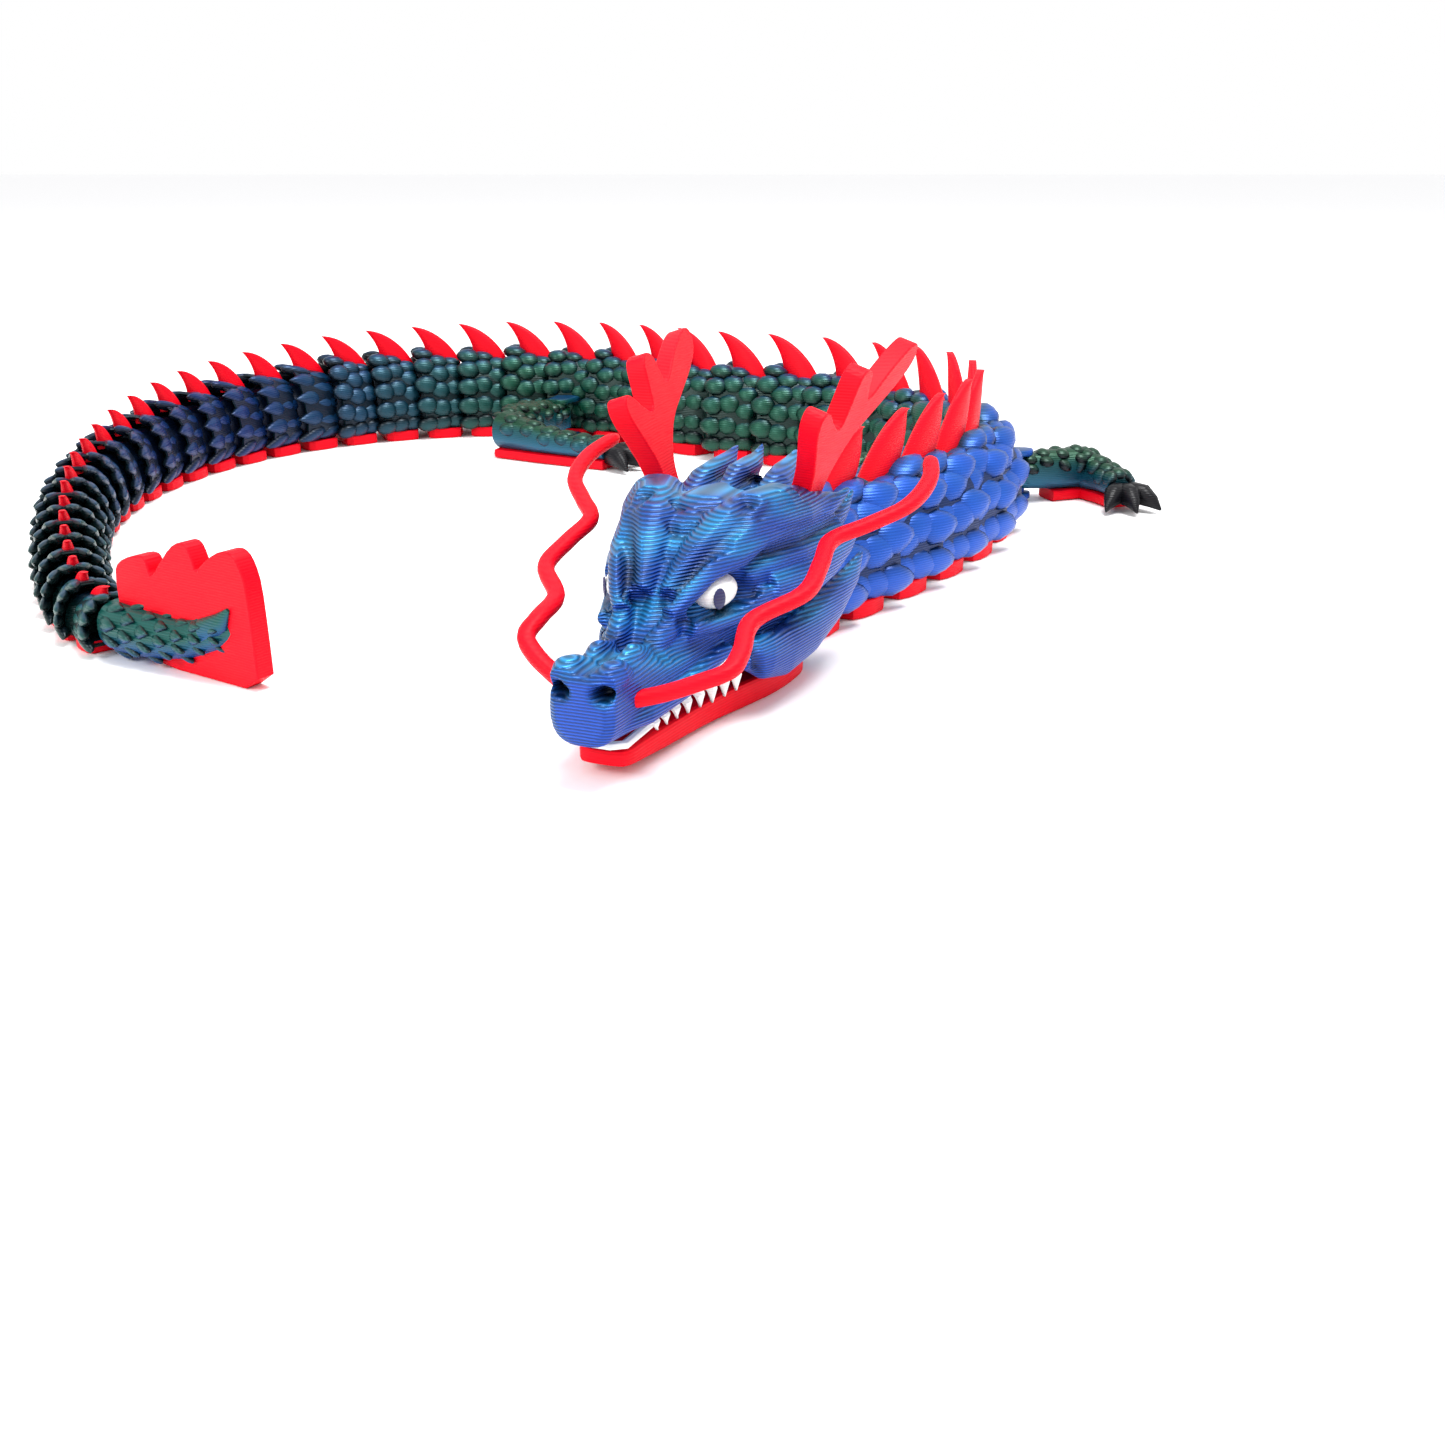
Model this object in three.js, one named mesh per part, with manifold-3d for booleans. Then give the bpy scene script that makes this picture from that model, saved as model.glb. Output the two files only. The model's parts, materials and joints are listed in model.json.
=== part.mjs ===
import * as THREE from 'three';
import { mergeVertices } from 'three/addons/utils/BufferGeometryUtils.js';
import Module from 'manifold-3d';

// A jointed dragon toy, printed in place, lying on a table in a long loose hook.
// Millimetres, +Z up. Every piece is drawn in its own frame: x towards the tail, y to the
// dragon's right, z up from the table, with the origin on the hinge that carries the piece.

// ---- The chain of links behind the head ----
const LINKS = 41;
const SHOULDER_LINK = 7; // carries the front legs
const HIP_LINK = 16; // carries the hind legs
const SWING = 18; // degrees that a hinge turns to either side of straight
const NECK_MARGIN = 4; // degrees that a knuckle's neck stays narrower than that

const BODY_PITCH = 9.1; // hinge to hinge in the neck and body
const TAIL_PITCH = 5.0; // hinge to hinge at the last link
const BODY_WIDTH = 13.8;
const TAIL_WIDTH = 6.8;
const BODY_HEIGHT = 13.4;
const TAIL_HEIGHT = 5.3;
const BODY_PIN = 1.1; // radius of a hinge pin
const TAIL_PIN = 0.65;
const BODY_WALL = 1.2; // round the pins and beside the sockets
const TAIL_WALL = 0.75;
const BODY_FLOOR = 1.8; // belly plate under the hinges
const TAIL_FLOOR = 1.1;
const CLEARANCE = 0.35; // between pieces that turn on each other
const SPIKE_THICKNESS = 0.16; // of the pitch
const SPIKE_LEAN = 0.28; // how far a tip hangs back, as a share of the spike's height
const SPIKE_BEND = 0.7; // where the front edge bends, as a share of the spike's height
const SPIKE_ROOT = 0.6; // where a spike starts, from the sockets' roof to the link's top
const SPIKE_HEIGHTS = [[0, 3.2], [4, 5.3], [8, 6.9], [12, 6.2], [17, 5.5], [26, 3.2], [34, 1], [40, 0.6]];

// How far each link is turned from the one in front of it, in degrees, as [link, turn] stations
const TURNS = [
  [0, -10.5], [1, -7], [2, 1.5], [4, 4], [6, 14], [9, 13], [11, 14], [13, -12], [14, -1],
  [16, 14], [20, 9.5], [23, 9.5], [27, 6], [31, 4.5], [35, 1.5], [38, 2], [40, 10.5], [41, 12.5],
];

// Cross-section of a link: shares of its half width and height
const BELLY_SHARE = 0.66;
const BACK_SHARE = 0.46;
const FLANK_LOW = 0.22;
const FLANK_HIGH = 0.64;
const FRONT_WIDTH = 0.94; // the front end of a link, as shares of its hinge's size
const FRONT_HEIGHT = 0.97;

// ---- The head: places on the muzzle are measured back from the nostrils, and places on the
// cranium forward from the neck hinge ----
const HEAD_YAW = 69.5; // direction in which the head's back end points
const HEAD_LENGTH = 37; // nostrils to the neck hinge
const JAW_THICKNESS = 2.2;
const HEAD_GAP = 0.3; // round each piece set into the head
const behindNostrils = (distance) => distance - HEAD_LENGTH;
const aheadOfNeck = (distance) => -distance;
const HEAD_SECTIONS = [ // [place, half width, top]
  [behindNostrils(0), 2.7, 9.9], [behindNostrils(3), 3.3, 10.3], [behindNostrils(9), 4.1, 10.1],
  [behindNostrils(13), 5, 12.6], [aheadOfNeck(18.5), 6.6, 16], [aheadOfNeck(13), 8, 17.2],
  [aheadOfNeck(8), 9.6, 17.3], [aheadOfNeck(3), 9, 15.4],
];
const COLLAR_LENGTH = 4.5; // the neck collar reaches down to the table, behind the jaw
const JAW_END = COLLAR_LENGTH + 1.5; // ahead of the neck hinge
const JAW_HALF_WIDTHS = [ // [place, half width]
  [behindNostrils(2.6), 2], [behindNostrils(8), 2.9], [behindNostrils(15.5), 4.2], [aheadOfNeck(14), 6.2],
  [aheadOfNeck(JAW_END), 7.4],
];
const TEETH_HEIGHT = 2;
const TEETH_DEPTH = 1.1;
const TEETH_START = 1.4;
const TEETH_END = 16.5;
const TEETH_BENDS = [3, 9, 13]; // where the band follows the muzzle's corners
const TEETH_INSET = 0.1; // from the lip
const EYE_RADIUS = 2.2;
const EYE_SIDES = 10;
const EYE_CENTRE = [15.8, 3.4, 11.5]; // back, to the side, up
const NOSTRIL_RADIUS = 0.8;
const NOSTRIL_CENTRE = [0, 1.6, 8];
const NOSTRIL_DEPTH = 1.6;
const CREST_FIN = [[-7, 14], [-0.5, 12.5], [2.6, 18.3], [-3, 17.6]]; // behind the neck hinge, up
const CREST_SPACING = 3;
const CREST_THICKNESS = 1.2;

// ---- Antlers: flat plates on pegs, leaning out ----
const ANTLER_FOOT = [5.4, 7.1, 17.2]; // ahead of the neck hinge, to the side, up
const ANTLER_LEAN = 22; // degrees
const ANTLER_THICKNESS = 1.9;
const ANTLER_WIDTH = 3.4; // at the foot
const ANTLER_PEG = 2.4; // depth in the head
const ANTLER_BLOCK = 4.4; // length of the raised seat between its round ends
const ANTLER_BLOCK_RADII = [2.4, 2]; // front, rear

// ---- Whiskers: wavy strips pushed into the sides of the muzzle ----
const WHISKER_WIDTH = 1.5;
const WHISKER_HEIGHT = 1.1;
const WHISKER_STEPS = 32;
const WHISKER_HOLE_RUN = 3; // the hole runs on past the route's second point
const WHISKER_ROUTE = [ // back, to the side, up
  [0.2, 1.9, 7.3], [1.8, 4.6, 7.8], [3.5, 7, 8.4], [5.5, 8.9, 8.9], [8.1, 8.9, 9.6], [12.2, 8.7, 10.7],
  [16.6, 11.6, 11.9], [21, 11.6, 13.1], [25.1, 11.3, 14.2], [28.4, 13.6, 15], [32.1, 16.2, 16.1],
  [36.9, 16.9, 17.4], [41.3, 15.9, 18.5],
];

// ---- Legs, measured outwards and towards the head from the hip pin ----
const HIP_PIN = 0.9;
const HIP_EYE = 1.9; // outer radius of the leg's eye
const HIP_BASE = 0.9; // underside of the lower hip bracket
const HIP_PLATE = 1.2; // thickness of each bracket plate
const HIP_EYE_HEIGHT = 3.2;
// [outwards, headwards, radius, low, high] along the limb
const LEG_ROOT = 2.1; // radius of the limb where it leaves the eye
const LEG_START = HIP_EYE + CLEARANCE + LEG_ROOT;
const FRONT_LEG = [[LEG_START, -0.4, LEG_ROOT, 0.6, 6.6], [9.6, -1.6, 2.4, 0.4, 6.8], [12.4, 5, 2, 0, 4]];
const HIND_LEG = [[LEG_START, -0.6, LEG_ROOT, 0.6, 7], [14, -2, 2.6, 0, 7.2], [16.5, 16.5, 1.9, 0, 4]];
const CLAW_LENGTH = 4.4;
const CLAW_HEIGHT = 2.4;
const CLAW_FAN = 42; // degrees between claws
const CLAW_ROOT = 0.7; // radius at the foot, as a share of the foot's
const CLAW_TIP = 0.3;
const SHIN_RISE = 0.6; // the lower limb stands this much higher than the foot

// ---- Tail end ----
const TIP_MIDDLE = { place: 9.25, width: 0.75, base: 0.9, rise: 0.8 }; // rise above the last hinge
const TIP_END = { place: 17, width: 0.4, base: 4, top: 7 };
const FIN_THICKNESS = 1.8;
const FIN_OUTLINE = [ // back from the last hinge, up
  [3, 1.2], [9, 0], [18.5, 0], [18.5, 10.6], [17.6, 12.2], [16, 12], [14.6, 10.2], [13.2, 11.8],
  [11, 11.4], [9.6, 8.6], [8.2, 9.4], [5.4, 9], [3.4, 5],
];

const COLOURS = { blue: '#1f4fa8', green: '#14553f', navy: '#1b2f6e', red: '#e5101f', white: '#f2f0ea' };
const BLUE_LINKS = 10; // counted from the head
const GREEN_LINKS = 24;

const OVERRUN = 1; // how far a cut runs past the material
const PIN_SIDES = 6;
const KNUCKLE_SIDES = 8;
const RAD = Math.PI / 180;

const wasm = await Module();
wasm.setup();

// ---------- Shapes ----------

function solid(geometry) {
  const bare = geometry.index ? geometry.toNonIndexed() : geometry.clone();
  bare.deleteAttribute('normal');
  bare.deleteAttribute('uv');
  const merged = mergeVertices(bare);
  return new wasm.Manifold(new wasm.Mesh({
    numProp: 3,
    vertProperties: Float32Array.from(merged.attributes.position.array),
    triVerts: Uint32Array.from(merged.index.array),
  }));
}

function join(...solids) {
  return solids.reduce((whole, piece) => whole.add(piece));
}

function meshOf(name, body, colour) {
  const { numProp, vertProperties, triVerts } = body.getMesh();
  const positions = new Float32Array((vertProperties.length / numProp) * 3);
  for (let v = 0; v < positions.length / 3; v++) {
    positions.set(vertProperties.subarray(v * numProp, v * numProp + 3), v * 3);
  }
  const geometry = new THREE.BufferGeometry();
  geometry.setAttribute('position', new THREE.BufferAttribute(positions, 3));
  geometry.setIndex(new THREE.BufferAttribute(Uint32Array.from(triVerts), 1));
  const material = new THREE.MeshStandardMaterial({ color: colour, roughness: 0.42, metalness: 0 });
  const mesh = new THREE.Mesh(geometry, material);
  mesh.name = name;
  return mesh;
}

// A plan outline, extruded from one height to another
function prism(outline, low, high) {
  const shape = new THREE.Shape(outline.map(([x, y]) => new THREE.Vector2(x, y)));
  const geometry = new THREE.ExtrudeGeometry(shape, { depth: high - low, bevelEnabled: false });
  return solid(geometry.translate(0, 0, low));
}

// A side outline in x and z, as a blade centred on y
function bladeGeometry(outline, thickness) {
  const shape = new THREE.Shape(outline.map(([x, z]) => new THREE.Vector2(x, z)));
  const geometry = new THREE.ExtrudeGeometry(shape, { depth: thickness, bevelEnabled: false });
  return geometry.rotateX(90 * RAD).translate(0, thickness / 2, 0);
}

function post(radius, low, high, x, y, sides) {
  const geometry = new THREE.CylinderGeometry(radius, radius, high - low, sides);
  return solid(geometry.rotateX(90 * RAD).translate(x, y, (low + high) / 2));
}

function block(x0, x1, y0, y1, z0, z1) {
  const geometry = new THREE.BoxGeometry(x1 - x0, y1 - y0, z1 - z0);
  return solid(geometry.translate((x0 + x1) / 2, (y0 + y1) / 2, (z0 + z1) / 2));
}

// A plan outline round two circles, for a limb or a lug
function capsule(x0, y0, r0, x1, y1, r1) {
  const heading = Math.atan2(y1 - y0, x1 - x0);
  const outline = [];
  for (const [x, y, r, start] of [[x1, y1, r1, -90], [x0, y0, r0, 90]]) {
    for (let step = 0; step <= 4; step++) {
      const angle = heading + (start + step * 45) * RAD;
      outline.push([x + r * Math.cos(angle), y + r * Math.sin(angle)]);
    }
  }
  return outline;
}

// A closed body through rings of points, each listed anticlockwise seen from the tail
function loft(rings) {
  const count = rings[0].length;
  const points = rings.flat(2);
  const index = [];
  for (let ring = 0; ring < rings.length - 1; ring++) {
    for (let k = 0; k < count; k++) {
      const a = ring * count + k;
      const b = ring * count + ((k + 1) % count);
      index.push(a, b, b + count, a, b + count, a + count);
    }
  }
  const last = (rings.length - 1) * count;
  for (let k = 1; k < count - 1; k++) {
    index.push(0, k + 1, k);
    index.push(last, last + k, last + k + 1);
  }
  const geometry = new THREE.BufferGeometry();
  geometry.setAttribute('position', new THREE.Float32BufferAttribute(points, 3));
  geometry.setIndex(index);
  return solid(geometry);
}

// The eight-sided section of a link, or of the head
function section(x, halfWidth, base, top) {
  const height = top - base;
  const right = [
    [halfWidth * BELLY_SHARE, base],
    [halfWidth, base + height * FLANK_LOW],
    [halfWidth, base + height * FLANK_HIGH],
    [halfWidth * BACK_SHARE, top],
  ];
  const left = right.map(([y, z]) => [-y, z]).reverse();
  return [...right, ...left].map(([y, z]) => [x, y, z]);
}

// The value at a place between [place, value] stations
function along(stations, place) {
  let [from, value] = stations[0];
  if (place <= from) return value;
  for (const [to, next] of stations) {
    if (place < to) return value + ((next - value) * (place - from)) / (to - from);
    [from, value] = [to, next];
  }
  return value;
}

// ---------- Hinges ----------

const pitchOf = (link) => along([[10, BODY_PITCH], [LINKS - 1, TAIL_PITCH]], link);
const widthAt = (place) => along([[10, BODY_WIDTH], [LINKS, TAIL_WIDTH]], place);
const heightAt = (place) => along([[17, BODY_HEIGHT], [LINKS, TAIL_HEIGHT]], place);
const taperAt = (place, body, tail) => along([[10, body], [LINKS, tail]], place);

// Sizes of the hinge in front of a link: a pin in the rear socket of the piece ahead, and the
// knuckle of the link behind turning round it
function hingeAt(place) {
  const half = widthAt(place) / 2;
  const wall = taperAt(place, BODY_WALL, TAIL_WALL);
  const pin = taperAt(place, BODY_PIN, TAIL_PIN);
  const floor = taperAt(place, BODY_FLOOR, TAIL_FLOOR);
  const lug = pin + wall;
  const shoulder = Math.max(half * Math.sin(SWING * RAD), lug) + CLEARANCE;
  const socket = Math.min(half - wall, pitchOf(place - 1) - shoulder - wall);
  return {
    half, wall, pin, floor, lug, shoulder, socket,
    height: heightAt(place),
    roof: heightAt(place) * FLANK_HIGH,
    knuckle: socket * Math.cos(180 / KNUCKLE_SIDES * RAD) - CLEARANCE,
    neck: socket * Math.cos((SWING + NECK_MARGIN) * RAD) - CLEARANCE,
    bore: (pin + CLEARANCE) / Math.cos(180 / PIN_SIDES * RAD),
  };
}

// Cuts the socket out of a body's rear end at x, and stands the pin in it
function withSocket(body, hinge, x) {
  const { lug, pin, floor, roof, height, socket } = hinge;
  const lugs = join(
    post(lug, 0, floor, x, 0, PIN_SIDES),
    post(lug, roof, (roof + height) / 2, x, 0, PIN_SIDES),
  );
  const room = post(socket, floor, roof, x, 0, KNUCKLE_SIDES);
  const spindle = post(pin, floor / 2, (roof + height) / 2, x, 0, PIN_SIDES);
  return join(body, lugs).subtract(room).add(spindle);
}

// Adds the front knuckle, which turns round the pin at the origin
function withKnuckle(body, hinge) {
  const { knuckle, neck, floor, roof, shoulder, bore, wall } = hinge;
  const low = floor + CLEARANCE;
  const high = roof - CLEARANCE;
  const tongue = join(
    post(knuckle, low, high, 0, 0, KNUCKLE_SIDES),
    block(0, shoulder + wall, -neck, neck, low, high),
  );
  return join(body, tongue).subtract(post(bore, low - OVERRUN, high + OVERRUN, 0, 0, PIN_SIDES));
}

// ---------- Links ----------

function spikeOutline(front, rear, base, height) {
  const tip = [rear + SPIKE_LEAN * height, base + height];
  const bend = [(front + rear) / 2, base + SPIKE_BEND * height];
  return [[front, base], [rear, base], tip, bend];
}

const hipRadius = HIP_EYE + CLEARANCE;
const hipMiddle = (link) => (hingeAt(link).shoulder + pitchOf(link)) / 2;
const hipOut = (link) => widthAt(link + 0.5) / 2 + hipRadius;

// Two plates and a pin on each flank, which hold the eye of a leg
function withHips(body, link) {
  const x = hipMiddle(link);
  const top = HIP_BASE + 2 * HIP_PLATE + 2 * CLEARANCE + HIP_EYE_HEIGHT;
  for (const side of [1, -1]) {
    const y = side * hipOut(link);
    const root = side * (widthAt(link + 0.5) / 2 - 2 * BODY_WALL);
    const arm = capsule(x, root, HIP_EYE, x, y, HIP_EYE);
    body = join(
      body,
      prism(arm, HIP_BASE, HIP_BASE + HIP_PLATE),
      prism(arm, top - HIP_PLATE, top),
      post(HIP_PIN, HIP_BASE + HIP_PLATE / 2, top - HIP_PLATE / 2, x, y, PIN_SIDES),
    );
  }
  return body;
}

function linkBody(link) {
  const front = hingeAt(link);
  const rear = hingeAt(link + 1);
  const pitch = pitchOf(link);
  const shell = loft([
    section(front.shoulder, front.half * FRONT_WIDTH, 0, front.height * FRONT_HEIGHT),
    section(pitch, rear.half, 0, rear.height),
  ]);
  let body = link === SHOULDER_LINK || link === HIP_LINK ? withHips(shell, link) : shell;
  body = withSocket(withKnuckle(body, front), rear, pitch);
  const root = SPIKE_ROOT * (rear.height - rear.roof) + rear.roof;
  const rise = rear.height - root + along(SPIKE_HEIGHTS, link);
  const spike = spikeOutline(front.shoulder + rear.wall, pitch - rear.wall / 2, root, rise);
  return join(body, solid(bladeGeometry(spike, SPIKE_THICKNESS * pitch)));
}

function linkColour(link) {
  if (link < BLUE_LINKS) return COLOURS.blue;
  return link < GREEN_LINKS ? COLOURS.green : COLOURS.navy;
}

function linkName(link) {
  const number = (count) => String(count).padStart(2, '0');
  if (link < SHOULDER_LINK) return `neck_link_${number(link + 1)}`;
  if (link === SHOULDER_LINK) return 'shoulder_link';
  if (link < HIP_LINK) return `body_link_${number(link - SHOULDER_LINK)}`;
  if (link === HIP_LINK) return 'hip_link';
  return `tail_link_${number(link - HIP_LINK)}`;
}

// ---------- Legs ----------

function legBody(side, limb) {
  const low = HIP_BASE + HIP_PLATE + CLEARANCE;
  const high = low + HIP_EYE_HEIGHT;
  const bore = (HIP_PIN + CLEARANCE) / Math.cos(180 / PIN_SIDES * RAD);
  const place = ([outward, headward]) => [-headward, side * outward];
  const stem = prism(capsule(0, 0, HIP_EYE, ...place(limb[0]), limb[0][2]), low, high);
  let leg = stem.subtract(post(bore, low - OVERRUN, high + OVERRUN, 0, 0, PIN_SIDES));
  for (let joint = 0; joint < limb.length - 1; joint++) {
    const [a, b] = [limb[joint], limb[joint + 1]];
    const outline = capsule(...place(a), a[2], ...place(b), b[2]);
    leg = join(leg, prism(outline, Math.min(a[3], b[3]), Math.min(a[4], b[4]) + SHIN_RISE * joint));
  }
  const knee = limb[1];
  const foot = limb[limb.length - 1];
  leg = join(leg, post(knee[2], knee[3], knee[4], ...place(knee), PIN_SIDES));
  const heading = Math.atan2(foot[0] - knee[0], foot[1] - knee[1]);
  for (const fan of [-1, 0, 1]) {
    const angle = heading + fan * CLAW_FAN * RAD;
    const tip = [foot[0] + CLAW_LENGTH * Math.sin(angle), foot[1] + CLAW_LENGTH * Math.cos(angle)];
    const claw = capsule(...place(foot), foot[2] * CLAW_ROOT, ...place(tip), CLAW_TIP);
    leg = join(leg, prism(claw, 0, CLAW_HEIGHT));
  }
  return leg;
}

// ---------- Head ----------

const headBase = JAW_THICKNESS + HEAD_GAP;
const headHalf = (x) => along(HEAD_SECTIONS.map(([at, half]) => [at, half]), x);

function antlerPlate(side, outline, thickness) {
  const geometry = bladeGeometry(outline, thickness);
  geometry.rotateX(-side * ANTLER_LEAN * RAD);
  const [at, out, up] = ANTLER_FOOT;
  return solid(geometry.translate(aheadOfNeck(at), side * out, up));
}

// Foot, low front prong, middle prong and long rear prong
function antlerBody(side) {
  const half = ANTLER_WIDTH / 2;
  const outline = [
    [-half, -ANTLER_PEG], [half, -ANTLER_PEG], [half, 0.4], [5.6, 4.4], [14.6, 8.2], [17.2, 10.4],
    [16.4, 11.4], [12.8, 10.8], [6, 7], [4.8, 10], [2.2, 10], [1.2, 5.4], [-3.8, 7.6], [-5, 6.2],
    [-half, 1],
  ];
  return antlerPlate(side, outline, ANTLER_THICKNESS);
}

function antlerSeat(side) {
  const half = ANTLER_WIDTH / 2 + HEAD_GAP;
  const depth = ANTLER_PEG + HEAD_GAP;
  const hole = [[-half, -depth], [half, -depth], [half, OVERRUN], [-half, OVERRUN]];
  return antlerPlate(side, hole, ANTLER_THICKNESS + 2 * HEAD_GAP);
}

function whiskerPoints(side) {
  return WHISKER_ROUTE.map(([at, out, up]) => new THREE.Vector3(behindNostrils(at), side * out, up));
}

function whiskerBody(side) {
  const points = whiskerPoints(side);
  const route = new THREE.CatmullRomCurve3(points);
  const [edge, face] = [WHISKER_WIDTH / 2, WHISKER_HEIGHT / 2];
  const right = [[0, edge], [-face, edge / 2], [-face, -edge / 2]];
  const corners = [...right, ...right.map(([x, y]) => [-x, -y])];
  const strip = new THREE.Shape(corners.map(([x, y]) => new THREE.Vector2(x, y)));
  const sweep = { steps: WHISKER_STEPS, bevelEnabled: false, extrudePath: route };
  return solid(new THREE.ExtrudeGeometry(strip, sweep));
}

// A straight hole along the whisker's first stretch
function whiskerHole(side) {
  const [inner, outer] = whiskerPoints(side);
  const direction = outer.clone().sub(inner).normalize();
  const start = inner.clone().addScaledVector(direction, -HEAD_GAP);
  const end = outer.clone().addScaledVector(direction, WHISKER_HOLE_RUN);
  const radius = WHISKER_WIDTH / 2 / Math.cos(180 / PIN_SIDES * RAD) + HEAD_GAP;
  const geometry = new THREE.CylinderGeometry(radius, radius, start.distanceTo(end), PIN_SIDES);
  geometry.applyQuaternion(new THREE.Quaternion().setFromUnitVectors(new THREE.Vector3(0, 1, 0), direction));
  const middle = start.add(end).multiplyScalar(0.5);
  return solid(geometry.translate(middle.x, middle.y, middle.z));
}

function ball(radius, [at, out, up], side) {
  const geometry = new THREE.SphereGeometry(radius, EYE_SIDES, EYE_SIDES - 2);
  return solid(geometry.translate(behindNostrils(at), side * out, up));
}

// A band that follows the muzzle's outline from one cheek round the front to the other
function teethBand(outset, inset, end) {
  const places = [TEETH_START - outset, ...TEETH_BENDS, end];
  const line = (offset, from) => places.map((at, k) => {
    const x = behindNostrils(k ? at : from);
    return [x, headHalf(behindNostrils(at)) + offset];
  });
  const outer = line(outset, TEETH_START - outset);
  const inner = line(-inset, TEETH_START + inset);
  const mirrored = (points) => points.map(([x, y]) => [x, -y]);
  return [...outer.slice().reverse(), ...mirrored(outer), ...mirrored(inner).reverse(), ...inner];
}

function jawBody() {
  const left = JAW_HALF_WIDTHS.map(([x, y]) => [x, -y]).reverse();
  return prism([...JAW_HALF_WIDTHS, ...left], 0, JAW_THICKNESS);
}

function headBody() {
  const hinge = hingeAt(0);
  const skull = loft(HEAD_SECTIONS.map(([at, half, top]) => section(at, half, headBase, top)));
  const collar = loft([
    section(aheadOfNeck(COLLAR_LENGTH), hinge.half, 0, hinge.height),
    section(0, hinge.half, 0, hinge.height),
  ]);
  let head = join(skull, collar);
  const [foot, out, up] = ANTLER_FOOT;
  for (const side of [1, -1]) {
    const [front, rear] = [aheadOfNeck(foot + ANTLER_BLOCK / 2), aheadOfNeck(foot - ANTLER_BLOCK / 2)];
    const [wide, narrow] = ANTLER_BLOCK_RADII;
    const seat = capsule(front, side * out, wide, rear, side * out, narrow);
    head = join(head, prism(seat, up - 2 * ANTLER_PEG, up));
  }
  for (const row of [-1, 0, 1]) {
    head = join(head, solid(bladeGeometry(CREST_FIN, CREST_THICKNESS).translate(0, row * CREST_SPACING, 0)));
  }
  head = withSocket(head, hinge, 0);
  const pocket = teethBand(OVERRUN, TEETH_DEPTH + HEAD_GAP, TEETH_END + HEAD_GAP);
  head = head.subtract(prism(pocket, headBase - OVERRUN, headBase + TEETH_HEIGHT + HEAD_GAP));
  for (const side of [1, -1]) {
    const [at, nostrilOut, nostrilUp] = NOSTRIL_CENTRE;
    const nostril = new THREE.CylinderGeometry(NOSTRIL_RADIUS, NOSTRIL_RADIUS, 2 * NOSTRIL_DEPTH, PIN_SIDES);
    nostril.rotateZ(90 * RAD).translate(behindNostrils(at), side * nostrilOut, nostrilUp);
    head = head.subtract(solid(nostril));
    head = head.subtract(ball(EYE_RADIUS + HEAD_GAP, EYE_CENTRE, side));
    head = head.subtract(antlerSeat(side)).subtract(whiskerHole(side));
  }
  return head;
}

// ---------- Tail end ----------

function tailTipBody() {
  const hinge = hingeAt(LINKS);
  const cone = loft([
    section(hinge.shoulder, hinge.half, 0, hinge.height),
    section(TIP_MIDDLE.place, hinge.half * TIP_MIDDLE.width, TIP_MIDDLE.base, hinge.height + TIP_MIDDLE.rise),
    section(TIP_END.place, hinge.half * TIP_END.width, TIP_END.base, TIP_END.top),
  ]);
  const fin = solid(bladeGeometry(FIN_OUTLINE, FIN_THICKNESS));
  return withKnuckle(join(cone, fin), hinge);
}

// ---------- Assembly ----------

const dragon = new THREE.Group();
const head = new THREE.Group();
head.rotation.z = HEAD_YAW * RAD;
dragon.add(head);

head.add(meshOf('head_shell', headBody(), COLOURS.blue));
head.add(meshOf('lower_jaw', jawBody(), COLOURS.red));
const teeth = prism(teethBand(-TEETH_INSET, TEETH_DEPTH, TEETH_END), headBase, headBase + TEETH_HEIGHT);
head.add(meshOf('upper_teeth', teeth, COLOURS.white));
for (const [side, name] of [[1, 'right'], [-1, 'left']]) {
  head.add(meshOf(`eye_${name}`, ball(EYE_RADIUS, EYE_CENTRE, side), COLOURS.white));
  head.add(meshOf(`antler_${name}`, antlerBody(side), COLOURS.red));
  head.add(meshOf(`whisker_${name}`, whiskerBody(side), COLOURS.red));
}

let carrier = head;
let reach = 0;
for (let link = 0; link < LINKS; link++) {
  const frame = new THREE.Group();
  frame.position.x = reach;
  frame.rotation.z = along(TURNS, link) * RAD;
  carrier.add(frame);
  frame.add(meshOf(linkName(link), linkBody(link), linkColour(link)));
  const limb = { [SHOULDER_LINK]: ['front', FRONT_LEG], [HIP_LINK]: ['hind', HIND_LEG] }[link];
  if (limb) {
    for (const [side, name] of [[1, 'right'], [-1, 'left']]) {
      const leg = meshOf(`${limb[0]}_leg_${name}`, legBody(side, limb[1]), COLOURS.green);
      leg.position.set(hipMiddle(link), side * hipOut(link), 0);
      frame.add(leg);
    }
  }
  carrier = frame;
  reach = pitchOf(link);
}

const tail = meshOf('tail_tip', tailTipBody(), COLOURS.green);
tail.position.x = reach;
tail.rotation.z = along(TURNS, LINKS) * RAD;
carrier.add(tail);

// The origin is on the table, under the middle of the whole toy
dragon.updateMatrixWorld(true);
const bounds = new THREE.Box3().setFromObject(dragon, true);
const centre = bounds.getCenter(new THREE.Vector3());
dragon.position.set(-centre.x, -centre.y, -bounds.min.z);

export default dragon;
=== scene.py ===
# %% [markdown]
# # Jointed toy dragon
# A dragon printed in one go from shiny blue-green plastic, with red spikes, belly plates, antlers
# and whiskers. It lies on a table in a long loose hook, head towards us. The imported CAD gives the
# shared frame; every piece below stands for one of its pieces and rides on the same body.

# %% Frame and tools
import json
import math
import random

import bmesh
import bpy
import numpy as np
from mathutils import Matrix, Vector


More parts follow.
